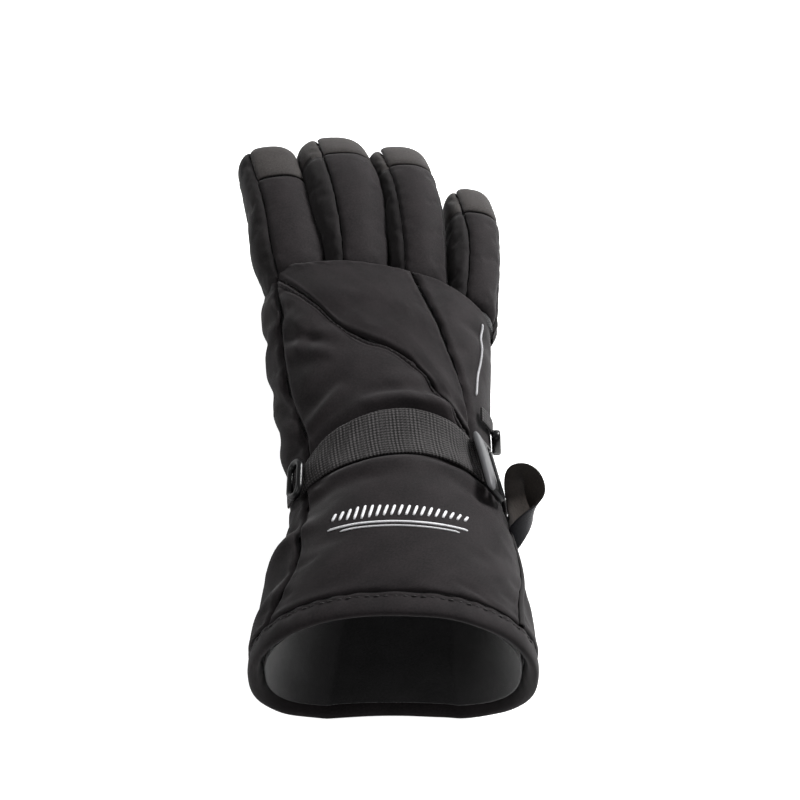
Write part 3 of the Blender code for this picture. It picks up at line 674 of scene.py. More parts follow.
def ridges(points, folds):
    """How far the folds lift each point."""
    lift = np.zeros(points.shape[:2])
    for turn0, y0, turn1, y1, height, width in folds:
        start = skin(turn0, y0)
        line = skin(turn1, y1) - start
        share = np.clip(((points - start) @ line) / (line @ line), 0, 1)
        away = np.linalg.norm(points - (start + share[..., None] * line), axis=-1)
        fade = 0.35 + 0.65 * np.sin(np.pi * np.clip(share * 0.86 + 0.07, 0, 1))
        lift += height * bell(away, width) * fade
    return lift


def fold_grid(places, folds):
    """The panel's points with its folds and small unevenness, flat at its seams."""
    points = skin(places[..., 0], places[..., 1])
    x, y, z = np.moveaxis(points, -1, 0)
    lift = ridges(points, folds)
    lift = (lift + 0.7 * wave_noise(x / 14, y / 14, z / 14, seed=3)
            + 0.22 * wave_noise(x / 4, y / 4, z / 4, seed=4))
    return body(places[..., 0], places[..., 1], -lift * smooth(edge_distance(points) / 4.0))


PLACES = {}  # each panel's grid of (turn, y)


def hand_panel(name, seams, folds, step=2.1, **cloth):
    """Queues a panel with its points about step mm apart."""
    rough = seamed(seams, 12, 12)
    points = skin(rough[..., 0], rough[..., 1])
    columns = max(5, int(lengths(points, 1)[:, -1].max() / step))
    rows = max(5, int(lengths(points, 0)[-1].max() / step))
    PLACES[name] = seamed(seams, columns, rows)
    want_cloth(name, fold_grid(PLACES[name], folds), **cloth)


palm_low, palm_high, palm_round = map(straight, (*PALM_TURNS, PALM_TURNS[1] - 360.0))
cuff_low, cuff_high, cuff_round = map(straight, (*CUFF_PALM_TURNS, CUFF_PALM_TURNS[1] - 360.0))
hand_panel("knuckle_panel", (little_seam, index_seam, crossing_seam, front), HAND_FOLDS,
           pressure=2.0, extra=0.004, cap=2.4)
hand_panel("wrist_back_panel", (little_seam, index_seam, wrist_seam, crossing_seam), HAND_FOLDS,
           pressure=2.0, extra=0.008, cap=3.0)
hand_panel("little_side_panel", (palm_round, little_seam, wrist_seam, front), HAND_FOLDS,
           pressure=1.4, extra=0.010, cap=2.0)
hand_panel("index_side_panel", (index_seam, palm_low, wrist_seam, front), HAND_FOLDS,
           pressure=1.6, extra=0.018, cap=2.6)
hand_panel("palm_panel", (palm_low, palm_high, wrist_seam, front), [], step=3.0,
           pressure=0.5, extra=0.01, cap=0.9)
hand_panel("gauntlet_back_panel", (cuff_little_seam, cuff_thumb_seam, hem_y, wrist_seam),
           CUFF_FOLDS, pressure=1.6, extra=0.010, cap=3.0)
hand_panel("gauntlet_thumb_side_panel", (cuff_thumb_seam, cuff_low, hem_y, wrist_seam),
           CUFF_FOLDS, pressure=1.4, extra=0.022, cap=3.0)
hand_panel("gauntlet_palm_panel", (cuff_low, cuff_high, hem_y, wrist_seam), [], step=3.0,
           pressure=0.4, extra=0.01, cap=0.9)
hand_panel("gauntlet_little_side_panel", (cuff_round, cuff_little_seam, hem_y, wrist_seam),
           CUFF_FOLDS, pressure=1.4, extra=0.014, cap=2.6)

# ---------------------------------------------------------------- finger and thumb shapes

TIP = 11.5  # length of a finger's rounded end
FINGER_POWER = 2.55
GROOVES = (183.0, 357.0)  # turns of the furrows down each finger's wrap
THIRDS = [0, 0.5, 1]  # shares of the length where half widths and heights are given


def spine(shape, along):
    """A finger's centre line, with its sideways and upward directions."""
    grid = np.linspace(-40.0, shape["length"], 160)
    start, end = shape["pitch"]
    share = np.clip(grid / shape["length"], 0, 1) ** shape["curl"]
    pitch = np.radians(start + (end - start) * share)
    step, middle = np.diff(grid), 0.5 * (pitch[1:] + pitch[:-1])

    def from_root(steps):
        run = np.concatenate([[0], np.cumsum(steps)])
        return np.interp(along, grid, run) - np.interp(0, grid, run)

    ahead, rise = from_root(np.cos(middle) * step), from_root(np.sin(middle) * step)
    tilt, lean = np.interp(along, grid, pitch), math.radians(shape["lean"])
    sin, cos = math.sin(lean), math.cos(lean)
    x, y, z = shape["root"]
    centre = np.stack([x - ahead * sin, y + ahead * cos, z + rise], -1)
    side = np.stack([cos + 0 * tilt, sin + 0 * tilt, 0 * tilt], -1)
    up = np.stack([sin * np.sin(tilt), -cos * np.sin(tilt), np.cos(tilt)], -1)
    return centre, side, up


def finger(name, turn, along, inset=0.0):
    """Points inset mm under a finger's surface."""
    shape = FINGERS[name]
    turn, along = np.broadcast_arrays(np.asarray(turn, float), np.asarray(along, float))
    length, root_height = shape["length"], shape["root_height"]
    share = np.clip(along / length, 0, 1)
    width, height = (pchip(THIRDS, shape[key], share) for key in ("width", "height"))
    height = root_height + 0.3 + (height - root_height - 0.3) * smooth((along + 1) / 11.0)
    closing = np.clip((along + inset - (length - TIP)) / TIP, 0, 1)
    narrow = (1 - closing ** 2.9) ** (1 / 2.9)
    width, height = (width - inset) * narrow, (height - inset) * (0.2 + 0.8 * narrow)
    centre, side, up = spine(shape, along)
    cos, sin = np.cos(np.radians(turn)), np.sin(np.radians(turn))
    wider = np.where(cos < 0, pchip(WIDE_AT, shape["wide_thumb"], share),
                     pchip(WIDE_AT, shape["wide_little"], share))
    centre = centre + side * pchip(WIDE_AT, shape["shift"], share)[..., None]
    x = (width + wider * narrow) * signed_power(cos, 2 / FINGER_POWER)
    z = height * signed_power(sin, 2 / FINGER_POWER)
    roll = math.radians(shape["roll"]) * smooth((along - 0) / 30)
    x, z = x * np.cos(roll) + z * np.sin(roll), z * np.cos(roll) - x * np.sin(roll)
    return centre + side * x[..., None] + up * z[..., None]


def finger_rows(name, turns, end, rows):
    """Distances along from the open end, further back on the palm side than on top, to end.
    They get closer together at the tip."""
    rise = np.sin(np.radians(turns))
    start = -4.0 + np.where(rise > 0, 6.0, 4.0) * rise
    along = start + (end - start) * np.linspace(0, 1, rows)[:, None]
    tail = FINGERS[name]["length"] - TIP
    eased = np.sin(np.clip((along - tail) / (end - tail), 0, 1) * math.pi / 2)
    return np.where(along > tail, tail + (end - tail) * eased, along)


def back_seam(name, along):
    """The turn of the back panel's thumb-side seam: it can wander outwards near the tip."""
    shape = FINGERS[name]
    start, end, length = shape["back_to"], shape["back_to_tip"], shape["length"]
    return start + (end - start) * smooth((along - 0.45 * length) / (0.5 * length))


WRAPS = {}  # each finger wrap's turns, distances along and groove columns
for name, shape in FINGERS.items():
    length, low, high = shape["length"], shape["back_from"], shape["back_to"]
    cap_start = length - shape["cap"]
    shares = spaced(26, 0.4)
    # back panel
    along = finger_rows(name, low + (high - low) * shares, cap_start, int(cap_start / 2.0))
    turn = low + (back_seam(name, along) - low) * shares
    want_cloth(name + "_back", finger(name, turn, along), pressure=2.0, extra=0.006, cap=2.0)
    # tip cap
    even = np.linspace(0, 1, max(10, int(shape["cap"] / 1.5)))
    eased = 0.45 + 0.55 * np.sin(np.clip((even - 0.45) / 0.55, 0, 1) * math.pi / 2)
    bend = np.where(even < 0.45, even, eased)
    along = np.repeat((cap_start + (length - cap_start) * bend)[:, None], len(shares), 1)
    turn = low + (back_seam(name, along) - low) * shares
    want_cloth(name + "_cap", finger(name, turn, along), pressure=0.9, extra=0.004, cap=0.9)
    # wrap: both sides and the palm side in one piece
    shares = spaced(58, 0.25)
    turns = high + (360.0 + low - high) * shares
    along = finger_rows(name, turns, length, int(length / 2.1) + 6)
    start = back_seam(name, along)
    turn = start + (360.0 + low - start) * shares
    columns = [int(np.argmin(abs(turns - groove))) for groove in GROOVES]
    WRAPS[name] = turn, along, columns
    pins = np.zeros(turn.shape, bool)
    pins[:, columns] = True
    want_cloth(name + "_wrap", finger(name, turn, along), pressure=1.0, extra=0.008, cap=1.3,
               pins=pins)

# The thumb lies under the palm; its root is full and round about its upright axis
THUMB_X, THUMB_Y, THUMB_Z = -38.0, -34.0, 14.0
THUMB_LENGTH, THUMB_TIP = 69.0, 16.0
THUMB_WIDTHS, THUMB_HEIGHT = (14.0, 15.0, 13.0), 14.0  # half sizes
THUMB_POWER = 2.4


def thumb(turn, along):
    behind = np.clip(-along / THUMB_WIDTHS[0], 0, 1)
    heel = np.sqrt(np.maximum(1 - behind ** 2, 0))
    closing = np.clip((along - (THUMB_LENGTH - THUMB_TIP)) / THUMB_TIP, 0, 1)
    narrow = (1 - closing ** 2.4) ** (1 / 2.4)
    width = pchip(THIRDS, THUMB_WIDTHS, np.clip(along / THUMB_LENGTH, 0, 1)) * heel * narrow
    height = THUMB_HEIGHT * (0.25 + 0.75 * narrow) * (0.3 + 0.7 * heel)
    cos, sin = np.cos(np.radians(turn)), np.sin(np.radians(turn))
    x = width * signed_power(cos, 2 / THUMB_POWER)
    slim = pchip([-0.3, 0, 0.45, 0.62, 1], [1, 1, 0.985, 0.955, 0.90], along / THUMB_LENGTH)
    # two creases across the top
    creases = bell(along - 27, 3.0) + 0.8 * bell(along - 43, 2.6)
    height = height * (slim - 0.07 * (sin > 0) * creases * sin ** 2)
    z = THUMB_Z * (0.25 + 0.75 * slim) + height * signed_power(sin, 2 / THUMB_POWER)
    # the root swells up towards the palm
    root = np.exp(-((x ** 2 + along ** 2) / 13.5 ** 2) ** 1.5)
    z = z + np.where(sin > 0, 15.0 * root * sin, 0.0)
    return np.stack([THUMB_X + x, THUMB_Y + along, z], -1)


tail = THUMB_LENGTH - THUMB_TIP
thumb_along = np.concatenate([
    -THUMB_WIDTHS[0] * np.cos(np.linspace(0, QUARTER, 9))[:-1], np.linspace(0, tail, 27)[:-1],
    tail + THUMB_TIP * np.sin(np.linspace(0, QUARTER, 12))])
for name, start, cloth in (("thumb_back", 0, dict(pressure=0.8, extra=0.015, cap=1.0)),
                           ("thumb_palm", 180, dict(pressure=0.2, extra=0.005, cap=0.4))):
    want_cloth(name, thumb(*np.meshgrid(np.linspace(start, start + 180, 30), thumb_along)),
               **cloth)

PANELS = run_cloths()

# ---------------------------------------------------------------- hand and cuff pieces

# The strap's middle y and half width, by turn
strap_y = partial(pchip, [20, 35, 60, 82, 110, 145, 165], [-75, -69.5, -60, -57, -63, -74, -79])
strap_half = partial(pchip, [33, 80, 115, 147], [12.5, 12.5, 11.0, 7.0])
# Lips that carry a panel on between the fingers: steps forward and down from its last row
KNUCKLE_LIP = [(0.9, 1.2), (1.2, 3.2), (1.0, 6.0), (0.6, 9.5), (0.0, 13.0)]
PALM_LIP = [(0.8, -1.2), (1.0, -3.0), (0.8, -6.0), (0.4, -9.0)]
TOPSTITCH = 5.2  # distance of the topstitch from the crossing seam


def under_strap(node, grid):
    """Presses a puffed panel flat where the strap lies, and lets it swell beyond its edges."""
    turn, y = PLACES[node][..., 0], PLACES[node][..., 1]
    base = body(turn, y)
    up = normals(base)
    height = ((grid - base) * up).sum(-1)
    away = (np.maximum(abs(y - strap_y(turn)) - strap_half(turn), 0.0)
            + 0.5 * np.maximum(28 - turn, 0) + 0.5 * np.maximum(turn - 152, 0))
    most = 0.1 + 0.95 * away
    swell = bell(away - 6.0, 3.4) * smooth((turn - 50) / 14) * smooth((148 - turn) / 14)
    return grid + up * (1.7 * swell - np.maximum(height - most, 0.0))[..., None]


def seam_profile(grid, sides, topstitch):
    """Seams sink into a groove beside a swollen edge, gathered a little; a topstitch at some
    distance from side T adds a furrow."""
    away = edge_distance(grid, sides)
    x, y, z = np.moveaxis(grid / 6.0, -1, 0)
    gather = 0.16 * np.sin(1.9 * (x * 3 + y * 3 + z * 2) + 2.5 * wave_noise(x, y, seed=21))
    if "B" not in sides:
        away = np.minimum(away, edge_distance(grid, "B") + 0.9)
    lift = (-1.7 * bell(away, 1.5) + 0.3 * bell(away - 3.6, 2.0)
            + gather * bell(away - 2.4, 2.2))
    if topstitch:
        top = edge_distance(grid, "T")
        lift += (0.35 * bell(top - 0.55 * topstitch, 0.3 * topstitch)
                 - 0.75 * bell(top - topstitch, 0.85) + 0.25 * bell(top - topstitch - 2.4, 1.3))
    return grid + normals(grid) * lift[..., None]


def hand_piece(node, material=SHELL, sides="LRBT", lip=(), topstitch=None):
    grid = seam_profile(under_strap(node, PANELS[node]), sides, topstitch)
    PANELS[node] = grid
    if lip:
        rows = [grid[-1] + np.array([0.0, ahead, -down]) for ahead, down in lip]
        grid = np.concatenate([grid, np.array(rows)], 0)
        sides = sides.replace("T", "")
    assign(grid_object(node + "_cloth", turn_in(grid, sides), material), node)


hand_piece("knuckle_panel", lip=KNUCKLE_LIP)
hand_piece("wrist_back_panel", topstitch=TOPSTITCH)
hand_piece("little_side_panel")
hand_piece("index_side_panel")
hand_piece("palm_panel", PALM, lip=PALM_LIP)
hand_piece("gauntlet_back_panel", sides="LRT")
hand_piece("gauntlet_thumb_side_panel", sides="LRT")
hand_piece("gauntlet_palm_panel", PALM, sides="LRT")
hand_piece("gauntlet_little_side_panel", sides="LRT")


def topstitch_thread():
    """Stitches beside the crossing seam, on the wrist side."""
    grid = PANELS["wrist_back_panel"]
    rows = grid[::-1]
    run = lengths(rows, 0)
    path = np.array([[np.interp(TOPSTITCH, run[:, j], rows[:, j, k]) for k in range(3)]
                     for j in range(rows.shape[1])])
    stitches("crossing_topstitch", *on_panel(grid, path[2:-2], 0.12),
             long=2.2, gap=0.9, radius=0.3, sink=0.16)


topstitch_thread()

# ---------------------------------------------------------------- finger pieces


def finger_piece(obj, name, part):
    """Hides the finger's part from the model and bakes the cloth's placement into its points."""
    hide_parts(f"{name}_{part}")
    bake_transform(obj)


def tucked(grid, back, down):
    """Adds a first row tucked back under the hand."""
    inner = grid[0] + (np.array([0, -back, 0]) - normals(grid)[0] * down)
    return np.concatenate([inner[None], grid], 0)


def finger_wrap(name):
    shape = FINGERS[name]
    turn, along, grooves = WRAPS[name]
    grid = dip(PANELS[name + "_wrap"], 1.2, 1.6, "LR")
    up, across = normals(grid), lengths(grid, 1)
    for k in grooves:
        grid = grid - up * (0.8 * bell(across - across[:, k:k + 1], 1.4))[..., None]
    cap_edge = shape["length"] - shape["cap"] - 1.0
    at_edge = bell(along - cap_edge, 1.2) * (turn < 186) * shape["wall"]
    grid = turn_in(tucked(grid - up * (0.9 * at_edge)[..., None], 4.0, 2.0), "LR")
    # faces of the cap's wall are grey; the padding stands for the tucked and turned-in edges
    turn, along = (np.pad(part, ((1, 0), (1, 1)), mode="edge") for part in (turn, along))
    grey = (turn[1:, 1:] < 187) & (along[:-1, 1:] > cap_edge) & shape["wall"]
    obj = grid_object(name + "_wrap_cloth", grid, SIDE, GREY, material_index=grey)
    finger_piece(obj, name, "palm_panel")


def finger_layer(name, part, inset, thick, material):
    """An inner layer of a finger, straight behind its root."""
    bend = FINGERS[name]["length"] - 16 - inset
    along = np.concatenate([np.linspace(-6.5, bend, 20),
                            bend + (15 - 0.4) * np.sin(np.linspace(0, QUARTER, 7))[1:]])
    turn, along = np.meshgrid(np.arange(0.0, 360.0, 12.0), along)
    behind = finger(name, turn, 0.0, inset) + along[..., None] * np.array([0, 1.0, 0])
    grid = np.where(along[..., None] < 0, behind, finger(name, turn, along, inset))
    obj = grid_object(f"{name}_{part}_layer", grid, material, thick=thick, wrap=True,
                      rounded_off=False)
    finger_piece(obj, name, part)


for name in FINGERS:
    grid = turn_in(tucked(dip(PANELS[name + "_back"], 1.2, 1.6), 3.5, 2.5), "LRT")
    obj = grid_object(name + "_back_cloth", grid, SHELL)
    finger_piece(obj, name, "back_panel")
    grid = turn_in(dip(PANELS[name + "_cap"], 1.0, 1.4, "LRB"), "LRB")
    obj = grid_object(name + "_tip_cap_cloth", grid, GREY)
    finger_piece(obj, name, "tip_cap")
    finger_wrap(name)
    finger_layer(name, "insulation", 2.7, 2.8, WADDING)
    finger_layer(name, "lining", 6.6, 0.8, FLEECE)

# ---------------------------------------------------------------- thumb pieces

for name, material, slot in (("thumb_back", SHELL, "shell_fabric"),
                             ("thumb_palm", PALM, "palm_fabric")):
    obj = grid_object(name + "_cloth", dip(PANELS[name], 0.9, 1.8, "LR"), material)
    assign(obj, name + "_panel", "thumb")

# The gusset is a short upright sleeve on the thumb's root: radius, z
GUSSET = [(13.2, 17.0), (13.9, 20.0), (14.2, 22.5), (13.7, 25.0),
          (13.5, 27.5), (13.8, 30.0), (13.9, 32.5), (13.2, 35.0)]
grid = [[(THUMB_X + radius * math.cos(a) * (1 + 0.018 * math.sin(9 * a + z)),
          THUMB_Y + radius * math.sin(a) * (1 + 0.012 * math.sin(7 * a)), z)
         for a in np.linspace(0, 2 * math.pi, 48, endpoint=False)] for radius, z in GUSSET]
obj = grid_object("thumb_gusset_cloth", grid, SIDE, wrap=True, flip=True)
assign(obj, "thumb_gusset", "thumb")
for node, material in (("thumb_insulation", WADDING), ("thumb_lining", FLEECE)):
    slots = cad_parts[node].data.materials
    slots.clear()
    slots.append(material)

# ---------------------------------------------------------------- hem band and cuff lining

# The band's section, from its outer upper edge round the hem to its inner edge: distance back
# from the stitch line, inset under the skin
HEM = [(-3.0, 2.6), (-1.6, 1.4), (-0.6, 0.7), (0.3, 0.15), (1.2, -0.1), (1.8, 0.25),
       (2.5, 0.0), (4.5, -0.45), (7.0, -0.55), (9.2, -0.35), (10.5, 0.4), (11.0, 1.7),
       (10.4, 3.3), (8.8, 4.2), (6.0, 4.7), (2.5, 5.1), (0.0, 5.4)]
HEM_DEPTH = 11.0


def hem_row(back, inset):
    turns = np.linspace(0, 360, 240, endpoint=False)
    angle = np.radians(turns)
    pucker = 0.35 * np.sin(turns * 0.62 + 1.3 * np.sin(turns * 0.11)) * bell(back - 0.5, 4.0)
    soft = 0.8 * wave_noise(np.cos(angle) * 3, np.sin(angle) * 3, seed=11) * (back / HEM_DEPTH)
    return body(turns, hem_y(turns) - back + soft, inset + pucker + 0.4 * soft)


grid = [hem_row(back, inset) for back, inset in reversed(HEM)]
assign(grid_object("hem_band_cloth", grid, SHELL, thick=0.9, wrap=True),
       "hem_band")
turns = np.linspace(0, 360, 720)
stitch_y = hem_y(turns) - 1.8
path = body(turns, stitch_y, -0.05)
stitches("hem_stitch", path, unit(path - body(turns, stitch_y, 0.95)),
         long=2.8, gap=1.3, radius=0.42, sink=0.0)


def inner_layers():
    """The wadding and the fleece inside the hand and cuff."""
    shares = np.concatenate([np.linspace(0.0, 0.6, 50), np.linspace(0.62, 1.0, 22)])
    turn, share = np.meshgrid(np.linspace(0, 360, 120, endpoint=False), shares)
    start = hem_y(turn) - 6.5
    y = start + (front(turn) - 8.0 - start) * (0.04 + 0.96 * share)
    obj = grid_object("body_insulation_layer", body(turn, y, 3.2), WADDING, thick=2.4,
                      wrap=True, rounded_off=False)
    assign(obj, "body_insulation")
    y = start + (front(turn) - 22.0 - start) * share
    angle = np.radians(turn)
    bulge = 0.9 * wave_noise(np.cos(angle) * 4, np.sin(angle) * 4, y / 16, seed=5)
    grid = body(turn, y, 7.0 + 0.6 * bulge * smooth(share / 0.08))
    obj = grid_object("cuff_lining_cloth", grid, FLEECE, thick=0.8, wrap=True)
    assign(obj, "body_lining")


inner_layers()

# ---------------------------------------------------------------- strap


def strap():
    """Webbing across the back of the wrist, tucked down at both ends."""
    turns = np.linspace(27.0, 150.0, 300)
    run = lengths(body(turns, strap_y(turns))[None], 1)[0]
    tuck = 0.9 * smooth((turns - 140) / 10) + 0.4 * smooth((36 - turns) / 8)
    ribs = 0.14 * np.sin(2 * math.pi * run / 1.9)
    rows = []
    for across in np.linspace(-1, 1, 15):
        wave = 0.35 * np.sin(turns / 15.0 + 1.5 * across) * (1 - abs(across) * 0.4)
        lift = 2.7 + wave + ribs - 0.35 * bell(1 - abs(across), 0.1) - tuck
        arch = 1.2 * smooth((turns - 118) / 24) * np.cos(across * 2.4) * (turns < 149)
        rows.append(body(turns, strap_y(turns) + across * strap_half(turns), -(lift + arch)))
    assign(grid_object("wrist_strap_webbing", rows, WEB, thick=1.4), "wrist_strap")


strap()

# ---------------------------------------------------------------- fittings


def skin_frame(turn, y, out):
    """A frame out mm above the skin: X round the hand, Z outwards."""
    around = skin(turn + 1, y) - skin(turn - 1, y)
    z_axis = unit(np.cross(skin(turn, y + 1) - skin(turn, y - 1), around))
    x_axis = unit(around)
    axes = np.stack([x_axis, np.cross(z_axis, x_axis), z_axis], 1)
    place = Vector(metres(skin(turn, y) + z_axis * out))
    return Matrix.Translation(place) @ Matrix(axes.tolist()).to_4x4()


def plate(name, outline, holes, thick, frame, edge):
    """A moulded plate from an anticlockwise outline with through holes, edges rounded."""
    bm = bmesh.new()
    # z and inset of each layer
    layers = [(-thick / 2, edge), (-thick / 2 + edge, 0.0), (thick / 2 - edge, 0.0),
              (thick / 2, edge)]
    made = []
    for number, points in enumerate([outline] + holes):
        points = np.array(points, float)
        out = np.roll(points, -1, 0) - np.roll(points, 1, 0)
        out = unit(np.stack([out[:, 1], -out[:, 0]], -1))
        if ((points - points.mean(0)) * out).sum() < 0:
            out = -out
        sign = 1 if number else -1
        rings = [[bm.verts.new((x, y, z)) for x, y in points + out * inset * sign * 0.9]
                 for z, inset in layers]
        for low, high in zip(rings, rings[1:]):
            for k in range(len(low)):
                n = (k + 1) % len(low)
                quad = (low[k], low[n], high[n], high[k])
                bm.faces.new(quad[::-1] if number else quad)
        made.append(rings)
    for layer in (-1, 0):
        edges = [bm.edges.get((ring[k], ring[(k + 1) % len(ring)]))
                 for ring in (rings[layer] for rings in made) for k in range(len(ring))]
        bmesh.ops.triangle_fill(bm, use_beauty=True, use_dissolve=False, edges=edges)
    bmesh.ops.recalc_face_normals(bm, faces=bm.faces)
    mesh = bpy.data.meshes.new(name)
    for vert in bm.verts:
        vert.co = vert.co * 0.001
    for face in bm.faces:
        face.smooth = abs(face.normal.z) < 0.9
    bm.to_mesh(mesh)
    bm.free()
    mesh.materials.append(BLACK_PLASTIC)
    obj = bpy.data.objects.new(name, mesh)
    obj.matrix_world = frame
    bpy.context.scene.collection.objects.link(obj)
    return obj


def rounded(width, height, radius, steps=5, x=0.0):
    """A rectangle with rounded corners, its middle at x."""
    points = []
    for side_x, side_y, start in ((1, 1, 0), (-1, 1, 90), (-1, -1, 180), (1, -1, 270)):
        for k in range(steps + 1):
            angle = math.radians(start + 90 * k / steps)
            points.append((x + side_x * (width / 2 - radius) + radius * math.cos(angle),
                           side_y * (height / 2 - radius) + radius * math.sin(angle)))
    return points


def bar(name, frame, x, z, length, width, height, material):
    """A moulded bar along Y of the frame: flat-topped, narrowing to rounded ends."""
    sides, rings = 20, 28
    section = signed_power(circle(sides), 0.6) * (0.5 * width, 0.5 * height)
    verts = []
    for i in range(rings):
        share = -math.cos(math.pi * i / (rings - 1))
        narrow = max(1 - abs(share) ** 7, 0.0) ** 0.5
        for across, up in section * narrow:
            place = Vector((x + across, share * length / 2, z + up - 0.5 * (share * share)))
            verts.append(frame @ (place * 0.001))
    faces = [face[::-1] for face in tube_faces(rings, sides, caps=False)]
    return raw_object(name, verts, faces, material)


def buckle():
    """A plate with two slots on the little-finger side, and a bar along one edge, grey as a
    painted reflection of the lights.
    """
    frame = (skin_frame(37.5, -73.0, 6.0) @ Matrix.Rotation(math.radians(-6), 4, "Z")
             @ Matrix.Rotation(math.radians(-12), 4, "Y"))
    slots = [rounded(3.0, 31.0, 1.2, x=x) for x in (-3.7, 2.1)]
    obj = plate("buckle_moulding", rounded(15.0, 37.5, 4.0), slots, 3.2, frame, edge=0.8)
    assign(obj, "ladder_lock_buckle", "buckle")
    obj = bar("buckle_front_bar", frame, x=5.6, z=1.2, length=39.0, width=6.2, height=3.4,
              material=PLASTIC_PAINTED_REFLECTION)
    assign(obj, rides="buckle")


def strap_ring():
    """An oblong ring of round stock at the strap's thumb-side end."""
    frame = skin_frame(148.0, -75.5, 5.4)
    sides, radius = 12, 0.0017
    points = np.array([frame @ (Vector((x, y, 0.0)) * 0.001)
                       for x, y in rounded(8.2, 17.6, 3.8, steps=8)])
    up = np.array(frame.to_3x3().col[2])
    side = np.cross(unit(np.roll(points, -1, 0) - np.roll(points, 1, 0)), up)
    verts = [vert for i in range(len(points))
             for vert in points[i] + circle(sides) * radius @ np.array([side[i], up])]
    faces = tube_faces(len(points), sides, caps=False, loop=True)
    assign(raw_object("strap_ring_moulding", verts, faces, BLACK_PLASTIC),
           "strap_ring", "ring_loop")


# x and y, clockwise
HOOK = [(-8, -2.5), (-8, 2.5), (-6.5, 4.3), (-3, 4.6), (1, 4.4), (5.5, 4.0), (7.8, 2.4),
        (8.2, 0.2), (7.2, -1.9), (5.4, -2.6), (4.6, -1.5), (3.0, -1.6), (2.4, -3.6),
        (-1, -4.4), (-5, -4.4), (-7.2, -3.6)]
buckle()
strap_ring()
obj = plate("hook_clip_moulding", HOOK[::-1], [rounded(6.0, 4.0, 1.4, x=-2.6)], 4.4,
            skin_frame(4.0, -42.0, 4.4), edge=0.9)
assign(obj, "hook_clip", "clip")


def webbing_patch(node, turns, ends, out, thick=1.2):
    """Ribbed webbing out mm above the skin, between two turns and two y values."""
    columns = max(8, int(abs(turns[1] - turns[0]) * 0.9 / 0.6))
    rows = max(6, int(abs(ends[1] - ends[0]) / 1.4))
    turn, y = np.meshgrid(np.linspace(*turns, columns), np.linspace(*ends, rows))
    run = lengths(skin(turn, y), 1)
    grid = body(turn, y, -(out + 0.10 * np.sin(2 * math.pi * run / 1.7)))
    assign(grid_object(node + "_webbing", grid, WEB, thick=thick), node)


webbing_patch("buckle_tab", (-8.0, 25.5), (-81.0, -58.0), 3.6, thick=1.4)
webbing_patch("ring_tab", (152.5, 169.0), (-82.5, -70.5), 3.4)
webbing_patch("clip_strip", (8.0, 30.0), (-41.5, -33.5), 3.2)

# The pull loop is a teardrop of tape between two edges, flat at its root and turned on edge at
# its top: smooth dark tape, with a second layer of grey-brown. Points are x, y, z.
LOOP_EDGES = [
    [(53.5, -95, 67), (54.5, -91, 68), (54, -85.5, 68.5), (53.5, -80, 70), (52.5, -76, 74),
     (52.5, -73, 80), (54, -72, 87), (58, -72, 91.5), (64, -72.5, 92), (70, -77, 89.5),
     (72, -82.5, 85.5), (71, -86, 83), (67.5, -89, 80.5), (62, -91.5, 78), (55.5, -95, 72.5),
     (54, -96, 69)],
    [(57, -98.5, 59.5), (58.5, -94.5, 59.5), (64, -85, 58.5), (67, -79.5, 61), (67, -75, 64.5),
     (66, -73.5, 68.5), (64, -73.5, 73.5), (62.5, -74.5, 77), (62.5, -75.5, 77.5),
     (62.5, -77.5, 76), (63, -80, 74.5), (64.5, -83.5, 72), (67.5, -88, 69), (65.5, -95, 66.5),
     (59, -103, 62.5), (57.5, -103.5, 59)],
]


def loop_edge(points):
    points = np.array(points, float)
    at = np.linspace(0, len(points) - 1, 80)
    line = np.stack([pchip(np.arange(len(points)), points[:, k], at) for k in range(3)], -1)
    for _ in range(14):
        line[1:-1] = 0.25 * line[:-2] + 0.5 * line[1:-1] + 0.25 * line[2:]
    return line


near, far = map(loop_edge, LOOP_EDGES)
grid = np.array([near + (far - near) * share for share in np.linspace(0, 1, 9)])
grid = grid + normals(grid) * 0.25 * np.sin(np.linspace(0, 9, 80))[None, :, None]
assign(grid_object("pull_loop_tape", grid, TAPE, thick=0.5, flip=True),
       "pull_loop", "loop")
assign(grid_object("pull_loop_tape_back", grid + normals(grid) * 0.5, TAPE_BACK, thick=0.4,
                   flip=True), rides="loop")

# ---------------------------------------------------------------- trims


def piping():
    """A round reflective cord on the little-finger side of the hand."""
    ys = np.linspace(24.0, -27.0, 60)
    turns = pchip([-27, -22.5, -10.5, 4, 15, 26], [31.5, 30.5, 28, 26, 24.5, 24], ys)
    path, _ = on_panel(PANELS["little_side_panel"], body(turns, ys), 0.35)
    tangent = unit(np.gradient(path, axis=0))
    side = unit(np.cross(tangent, np.array([0.0, 0.0, 1.0])))
    up = np.cross(side, tangent)
    radii = np.full(len(path), 0.62)
    radii[[0, -1]] *= 0.5
    verts = [vert for i in range(len(path))
             for vert in path[i] + circle(8) * radii[i] @ np.array([side[i], up[i]])]
    faces = [face[::-1] for face in tube_faces(len(path), 8)]
    assign(raw_object("reflective_piping_cord", metres(verts), faces, REFLECT),
           "reflective_piping")


piping()
ys = np.linspace(-154.0, -86.0, 60)
grid = [body(cuff_little_seam(ys) + across, ys, -(1.5 - 0.10 * across * across))
        for across in np.linspace(-2.8, 2.8, 7)[::-1]]
assign(grid_object("gauntlet_binding_cloth", grid, SIDE, thick=0.9),
       "gauntlet_binding")

# ---------------------------------------------------------------- emblem

# A raised satin band's section: share of the half width, height
SATIN = np.array([(-1.0, -0.15), (-0.85, 0.35), (-0.4, 0.62), (0.4, 0.62), (0.85, 0.35),
                  (1.0, -0.15)])
BARS = 19


def turn_at(x, y):
    """The skin's turn at a sideways place x, for the back of the cuff."""
    middle, half = pchip(BODY[:, 0], BODY[:, 1], y), pchip(BODY[:, 0], BODY[:, 3], y)
    return float(np.degrees(np.arccos(signed_power((x - middle) / half, BODY_POWER / 2))))


